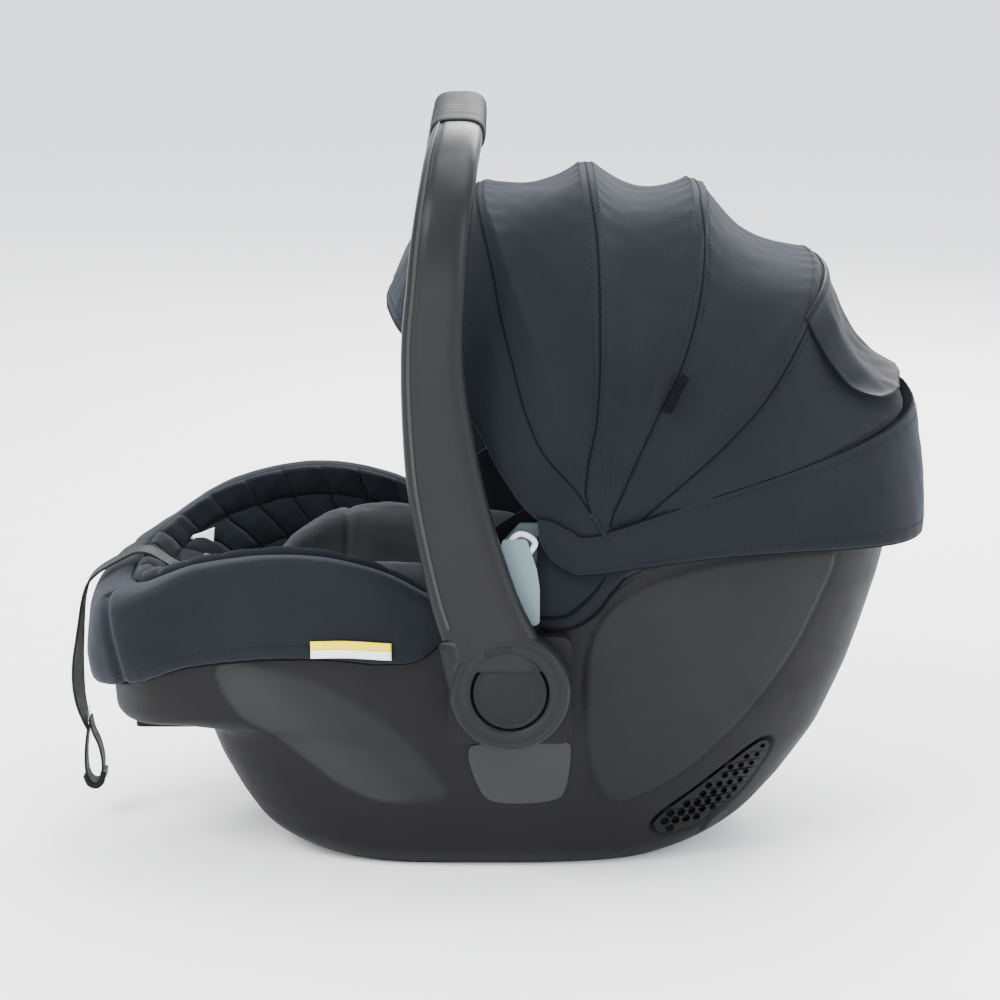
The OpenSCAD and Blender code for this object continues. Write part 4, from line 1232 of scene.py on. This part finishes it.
def two_sided(name, outer, thick, material, share=None):
    """Closed cloth of a given thickness from its outer grid."""
    return cloth_panel(name, outer, outer - away_normals(outer) * thick, material, share=share)


def blend_by_share(obj):
    """Read the cloth's share of the way between two bows, move its points to a ruler by it, then put them back where
    they were.
    """
    share = np.zeros(len(obj.data.vertices), np.float32)
    obj.data.attributes["fold"].data.foreach_get("value", share)
    share = np.clip(share.astype(float), 0, 1)
    place = coordinates(obj)
    ruler = np.zeros_like(place)
    ruler[:, 0] = 0.5 - np.sin(np.arcsin(1 - 2 * share) / 3)
    obj.data.vertices.foreach_set("co", ruler.astype(np.float32).ravel())
    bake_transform(obj)
    obj.data.vertices.foreach_set("co", place.astype(np.float32).ravel())
    obj.data.update()


def gore(k):
    """Cloth between bow k + 1 and the next one to the rear."""
    f = np.linspace(0, 1, 72)[:, None]
    front, rear = math.radians(BOW_A[k]), math.radians(BOW_A[k + 1])
    b = ARCH[None, :]
    a = rear + swing(k + 1, b) + (front + swing(k, b) - rear - swing(k + 1, b)) * f
    g = skin(a, b)
    pocket = POCKET / (0.255 * (front - rear))
    inside = np.clip((f - pocket) / (1 - 2 * pocket), 0, 1)
    q = np.linalg.norm((g - CENTRE)[..., [0, 2]], axis=-1)
    fold = folds(g * [1.0, 0.7, 1.0], 60 + 7 * k, 0.14) * 0.0020 * np.sin(np.pi * inside) ** 0.4
    fold *= step(q / 0.06)
    side = step((np.abs(g[..., 1]) - 0.11) / 0.06)
    rays = np.sin(a * 360 / 6.5 + 1.2 * ripple(g, 0.15, 80 + k)) * np.exp(-((q - 0.07) / 0.06) ** 2)
    fold = fold + 0.0005 * rays * side * np.sin(np.pi * inside) ** 0.5
    gather = np.sin(np.cumsum(np.ones_like(b), 1) * 0.55 + 2 * ripple(g * [1, 1, 0.2], 0.1, 90 + k))
    near = np.exp(-inside / 0.10) + np.exp(-(1 - inside) / 0.10)
    fold = fold + 0.00035 * gather * near * (inside > 0) * (inside < 1) * step(q / 0.08)
    n = away_normals(g)
    g = g + n * fold[..., None]
    cloth = two_sided(f"canopy_cloth_{k + 1}", g, 0.0015, slate, np.broadcast_to(f, g.shape[:2]))
    blend_by_share(cloth)
    stands_for(f"canopy_gore_{k + 1}")
    return g


gores = [gore(k) for k in range(4)]


def visor():
    f = np.linspace(0, 1, 44)[:, None]
    b = ARCH[None, :]
    reach = hermite(VISOR_REACH, 260 * signed(np.sin(b), ARCH_N))
    a = math.radians(BOW_A[0]) + swing(0, b) + (np.radians(reach) - swing(0, b)) * f
    inward = 0.029 * f ** 1.8
    g = dome(a, b, BOW_R[0] - inward, BOW_W[0] - 0.001 * f)
    q = np.linalg.norm((g - CENTRE)[..., [0, 2]], axis=-1)
    n = away_normals(g)
    away = step((f - 0.06) / 0.2) * step((1 - f) / 0.15 + 0.15)
    fold = folds(g, 120, 0.11) * 0.0020 * away * step(q / 0.06)
    gather = np.sin(np.cumsum(np.ones_like(b), 1) * 0.3 + 2 * ripple(g, 0.1, 97))
    fold = fold + 0.0002 * gather * np.exp(-(1 - f) / 0.12)
    g = g + n * fold[..., None]
    cloth = two_sided("canopy_visor", g, 0.0020, slate)
    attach(cloth, "canopy_1")
    thread("visor_edge_binding", g[-1] - n[-1] * 0.0006, 0.0015, slate, "canopy_1")
    stitches("visor_edge_stitches", g[-4] + n[-4] * 0.0004, slate, "canopy_1", radius=0.0003)


visor()


def rear_flap():
    """Satin flap that hangs from the rearmost bow over the last gore, free along its lower edge."""
    u = np.linspace(-1, 1, 150)[None, :]
    f = np.linspace(0, 1, 80)[:, None]
    y = u * 0.126 * (1 - 0.11 * f ** 6)
    low = 20.6 + 2.5 * np.abs(u) ** 5
    a = np.radians(46.6 - (46.6 - low) * f)
    b = np.arccos(signed(y / 0.1852, 1 / ARCH_N)) + 0 * f
    g = skin(a, b)
    n = away_normals(g)
    free = step(f / 0.3)
    drape = 0.0024 * folds(g * [1, 1.6, 0.5], 200, 0.11) + 0.0012 * np.sin(u * 6.5 + 1.2 * f)
    curl = 0.0035 * f ** 5 + 0.0020 * f + 0.0030 * np.exp(-(1 - np.abs(u)) / 0.08) * f
    g = g + n * (0.0014 + 0.0030 * free + curl + drape * free)[..., None]
    seam = BOW_A[3] + np.degrees(swing(3, b))
    share = (np.degrees(a) - BOW_A[4]) / (seam - BOW_A[4])
    cloth = two_sided("canopy_rear_flap", g, 0.0011, satin, np.clip(share, 0, 1))
    blend_by_share(cloth)


rear_flap()
for k in range(4):
    out = gores[k][-1] - CENTRE
    out[:, 1] *= 0.5
    out = unit(out)
    thread(f"bow_piping_{k + 1}", (gores[k][-1] - out * 0.0001)[3:-3], 0.0008, seam_thread, CANOPY[k])
    for j, row in ((0, -5), (1, 5)):
        if k >= j:
            path = (gores[k - j][row] + out * 0.0003)[5:-5]
            stitches(f"bow_stitches_{k + 1}_{j}", path, slate, CANOPY[k], radius=0.0003)


def band():
    """Fixed cloth round the head end, with a bound edge above and below."""
    b = np.radians(np.arange(8, 173, 4))
    q, y = 0.252 * signed(np.sin(b), ARCH_N), 0.183 * signed(np.cos(b), ARCH_N)
    side_low = np.array([[25, 284], [33, 270], [46, 261], [62, 258]], float) * MM
    side_up = np.array([[23, 302], [33, 300.5], [48, 293], [66, 288.5]], float) * MM
    bead = step((q - 0.05) / 0.19)
    height = 0.258 + 0.014 * np.sin(np.pi * np.clip(q / 0.30, 0, 1)) - 0.003 * bead
    low = np.stack([PIVOT[0] + q + 0.005 * bead, y, height], 1)
    reach, slope = q + 0.0075 * bead, math.radians(BOW_A[4])
    up = np.stack([PIVOT[0] + reach * math.cos(slope), y,
                   PIVOT[1] + 0.0045 * (1 - bead) + reach * math.sin(slope)], 1)

    def whole(ends, rear, half):
        left = np.stack([ends[:, 0], np.full(4, half), ends[:, 1]], 1)
        return catmull(np.concatenate([left, rear, (left * [1, -1, 1])[::-1]]), 420)

    low, up = whole(side_low, low, 0.1910), whole(side_up, up, 0.1948)
    f = np.linspace(0, 1, 40)[:, None, None]
    g = low[None] * (1 - f) + up[None] * f
    n = away_normals(g)
    s = f[..., 0]
    puff = 0.0030 * np.sin(np.pi * s) ** 0.6
    fold = folds(g * [1, 1, 1.3], 150, 0.13) * 0.0014 * np.sin(np.pi * s) ** 0.5
    run = np.arange(g.shape[1])[None, :]
    near = np.exp(-s / 0.12) + np.exp(-(1 - s) / 0.12)
    gather = 0.00012 * np.sin(run * 0.6 + 2 * ripple(g, 0.08, 152)) * near
    calm = 0.35 + 0.65 * step((g[..., 0] - 0.05) / 0.12)
    g = g + n * ((puff + fold + gather) * calm)[..., None]
    cloth = two_sided("canopy_rear_band", g, 0.0018, slate)
    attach(cloth, "seat")
    stands_for("canopy_band")
    thread("band_upper_piping", g[-1] - n[-1] * 0.0008, 0.0009, seam_thread, "seat")
    thread("band_lower_piping", g[0] - n[0] * 0.0008, 0.0010, seam_thread, "seat")
    stitches("band_upper_stitches", g[-4] + n[-4] * 0.0004, slate, "seat", radius=0.0003)
    stitches("band_lower_stitches", g[4] + n[4] * 0.0004, slate, "seat", radius=0.0003)


band()

# ---------------------------------------------------------------- small sewn pieces
for word, side in SIDES:
    low = catmull(np.array([[24, 217], [32, 212.6], [42, 211.6], [55, 215], [70, 226], [80, 240], [92, 254],
                            [112, 262]], float) * MM, 90)
    top, _ = flat_path([[23, 285], [32, 283], [44, 280], [58, 277], [74, 274], [92, 272], [108, 272],
                        [126, 274]], side * 0.1790, 90)
    bottom = on_border(low[:, 0], low[:, 1], side, 0.0016)
    f = np.linspace(0, 1, 40)[:, None, None]
    g = bottom[None] * (1 - f) + top[None] * f
    g[..., 1] += side * (0.0032 * np.sin(np.pi * f[..., 0]) + 0.0006 * ripple(g, 0.05, 160))
    g[0, :, 1] -= side * 0.0015
    back = g - np.array([0, side * 0.0018, 0])
    gusset = cloth_panel("cover_gusset_" + word, g, back, slate, "seat")
    for tag, line in (("inner", [[24, 222], [44, 223], [55, 230], [67, 242], [75, 254]]),
                      ("outer", [[26, 214], [40, 212], [55, 215], [70, 226], [80, 240], [90, 253]])):
        c = catmull(np.array(line, float) * MM, 60)
        path = on_border(c[:, 0], c[:, 1], side, 0.0022)
        thread(f"cover_piping_{tag}_{word}", path, 0.0014, seam_thread, "seat")


def patch(corners, rows, columns):
    """Flat grid between four corners, with the shares of the way along its columns and rows."""
    c, s, t = np.array(corners, float) * MM, np.linspace(0, 1, columns)[None, :, None], np.linspace(0, 1, rows)
    t = t[:, None, None]
    return (c[0, 0] * (1 - s) + c[0, 1] * s) * (1 - t) + (c[1, 0] * (1 - s) + c[1, 1] * s) * t, s, t


flat, s_, t_ = patch([[[117, 382], [123.5, 380]], [[131, 410], [137, 407]]], 26, 10)
q = np.hypot(flat[..., 0] - PIVOT[0], flat[..., 1] - PIVOT[1])
y = 0.1868 * signed(np.cos(np.arcsin((q / 0.2535) ** (1 / ARCH_N))), ARCH_N) + 0.0005 * (np.sin(t_ * 9) * s_)[..., 0]
grids = [np.stack([flat[..., 0], -y - lift, flat[..., 1]], -1) for lift in (0.0026, 0.0020)]
cloth_panel("seam_tag", grids[0], grids[1], seam_thread, "canopy_3")
face, s_, t_ = patch([[[-281, 62, 201], [-246, 68, 203]], [[-272, 76, 222], [-244, 82, 229]]], 16, 20)
face = face + 0.0016 * np.sin(4 * s_ + 3 * t_) * np.array([-0.1, -0.75, 0.65])
care = cloth_panel("plain_care_tag", face, face + 0.0006 * np.array([0.1, 0.75, -0.65]), tag_white, "seat")
stands_for("care_label")

# ---------------------------------------------------------------- finishes on the kept parts
FINISH = {
    "rocker_base": (dark_plastic, 1.2), "rubber_feet": (rubber_black, 0.6), "latch_bars": (steel, 0.5),
    "inner_bucket": (tub_plastic, 0), "foam_liner": (foam_white, 0), "buckle_body": (dark_plastic, 1.0),
    "buckle_button": (red_plastic, 0.6), "adjuster_housing": (seam_thread, 1.0),
    "adjuster_button": (dark_plastic, 0.6), "harness_yoke": (steel, 0.4), "base_release_housing": (dark_plastic, 1.0),
    "base_release_lever": (dark_plastic, 0.8), "base_release_pin": (steel, 0.2),
}
for word, side in SIDES:
    FINISH.update({"hub_housing_" + word: (shell_plastic, 1.2), "hub_axle_" + word: (steel, 0.4),
                   "button_spring_" + word: (steel, 0), "belt_guide_" + word: (guide_plastic, 1.3),
                   "canopy_mount_" + word: (dark_plastic, 0.6), "buckle_tongue_" + word: (steel, 0.3)})
for k in range(1, 5):
    FINISH[f"canopy_bow_{k}"] = (dark_plastic, 0.3)
for node, (material, width) in FINISH.items():
    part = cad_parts[node]
    part.data.materials.clear()
    part.data.materials.append(material)
    if width:
        modify(part, "BEVEL", width=width * MM, segments=3, limit_method="ANGLE",
               angle_limit=math.radians(40), harden_normals=False)

# ---------------------------------------------------------------- side wings and belt guide hooks
for word, side in SIDES:
    f, t = np.linspace(0, 1, 40)[:, None], np.linspace(0, 1, 50)[None, :]
    x = -0.046 + 0.120 * t + 0.012 * f * (1 - t)
    z = 0.212 + f * (0.086 + 0.030 * t - 0.030 * (1 - t) ** 2)
    wrinkle = ripple(np.stack([x, 0 * x, z], -1), 0.05, 300)
    y = side * (0.1595 + 0.0025 * np.sin(np.pi * t) * np.sin(np.pi * f) + 0.0006 * wrinkle)
    g = np.stack(np.broadcast_arrays(x, y, z), -1)
    wing = cloth_panel("side_wing_" + word, g, g - np.array([0, side * 0.003, 0]), quilt_cloth, "seat")
    hook, _ = flat_path([[1, 276], [3, 284.5], [9, 290], [16.5, 288.5], [21.5, 283], [17.5, 276]],
                        side * 0.1925, 50)
    # the hook's light colour is a painted highlight on the guide's rounded rim
    thread("guide_hook_" + word, hook, 0.0022, guide_rim_highlight, "seat", sides=14)

# ---------------------------------------------------------------- floor and light
floor = make("floor", [[-8, -8, 0], [8, -8, 0], [8, 8, 0], [-8, 8, 0]], [[0, 1, 2, 3]], floor_white)
world = bpy.data.worlds.new("studio")
bpy.context.scene.world = world
world.use_nodes = True
world.node_tree.nodes["Background"].inputs[0].default_value = (0.93, 0.95, 1.0, 1)
world.node_tree.nodes["Background"].inputs[1].default_value = 2.05


def softbox(name, place, aim, size, power, colour=(1, 1, 1)):
    data = bpy.data.lights.new(name, "AREA")
    data.shape = "RECTANGLE"
    data.size, data.size_y = size
    data.energy = power
    data.color = colour
    lamp = bpy.data.objects.new(name, data)
    bpy.context.scene.collection.objects.link(lamp)
    lamp.location = place
    lamp.rotation_euler = (Vector(aim) - Vector(place)).to_track_quat("-Z", "Y").to_euler()


softbox("key", (-1.5, -1.7, 2.3), (0, 0, 0.3), (1.4, 1.4), 120)
softbox("top", (0.4, 0.3, 2.6), (0, 0, 0.3), (2.0, 1.6), 90)
softbox("fill", (2.2, -1.6, 1.2), (0, 0, 0.3), (1.2, 1.6), 50, (0.95, 0.97, 1.0))
softbox("rim_light", (0.6, 2.2, 1.6), (0, 0, 0.35), (1.6, 1.0), 80)
softbox("low_fill", (-0.5, -2.4, 0.45), (0, 0, 0.2), (2.4, 0.8), 34)
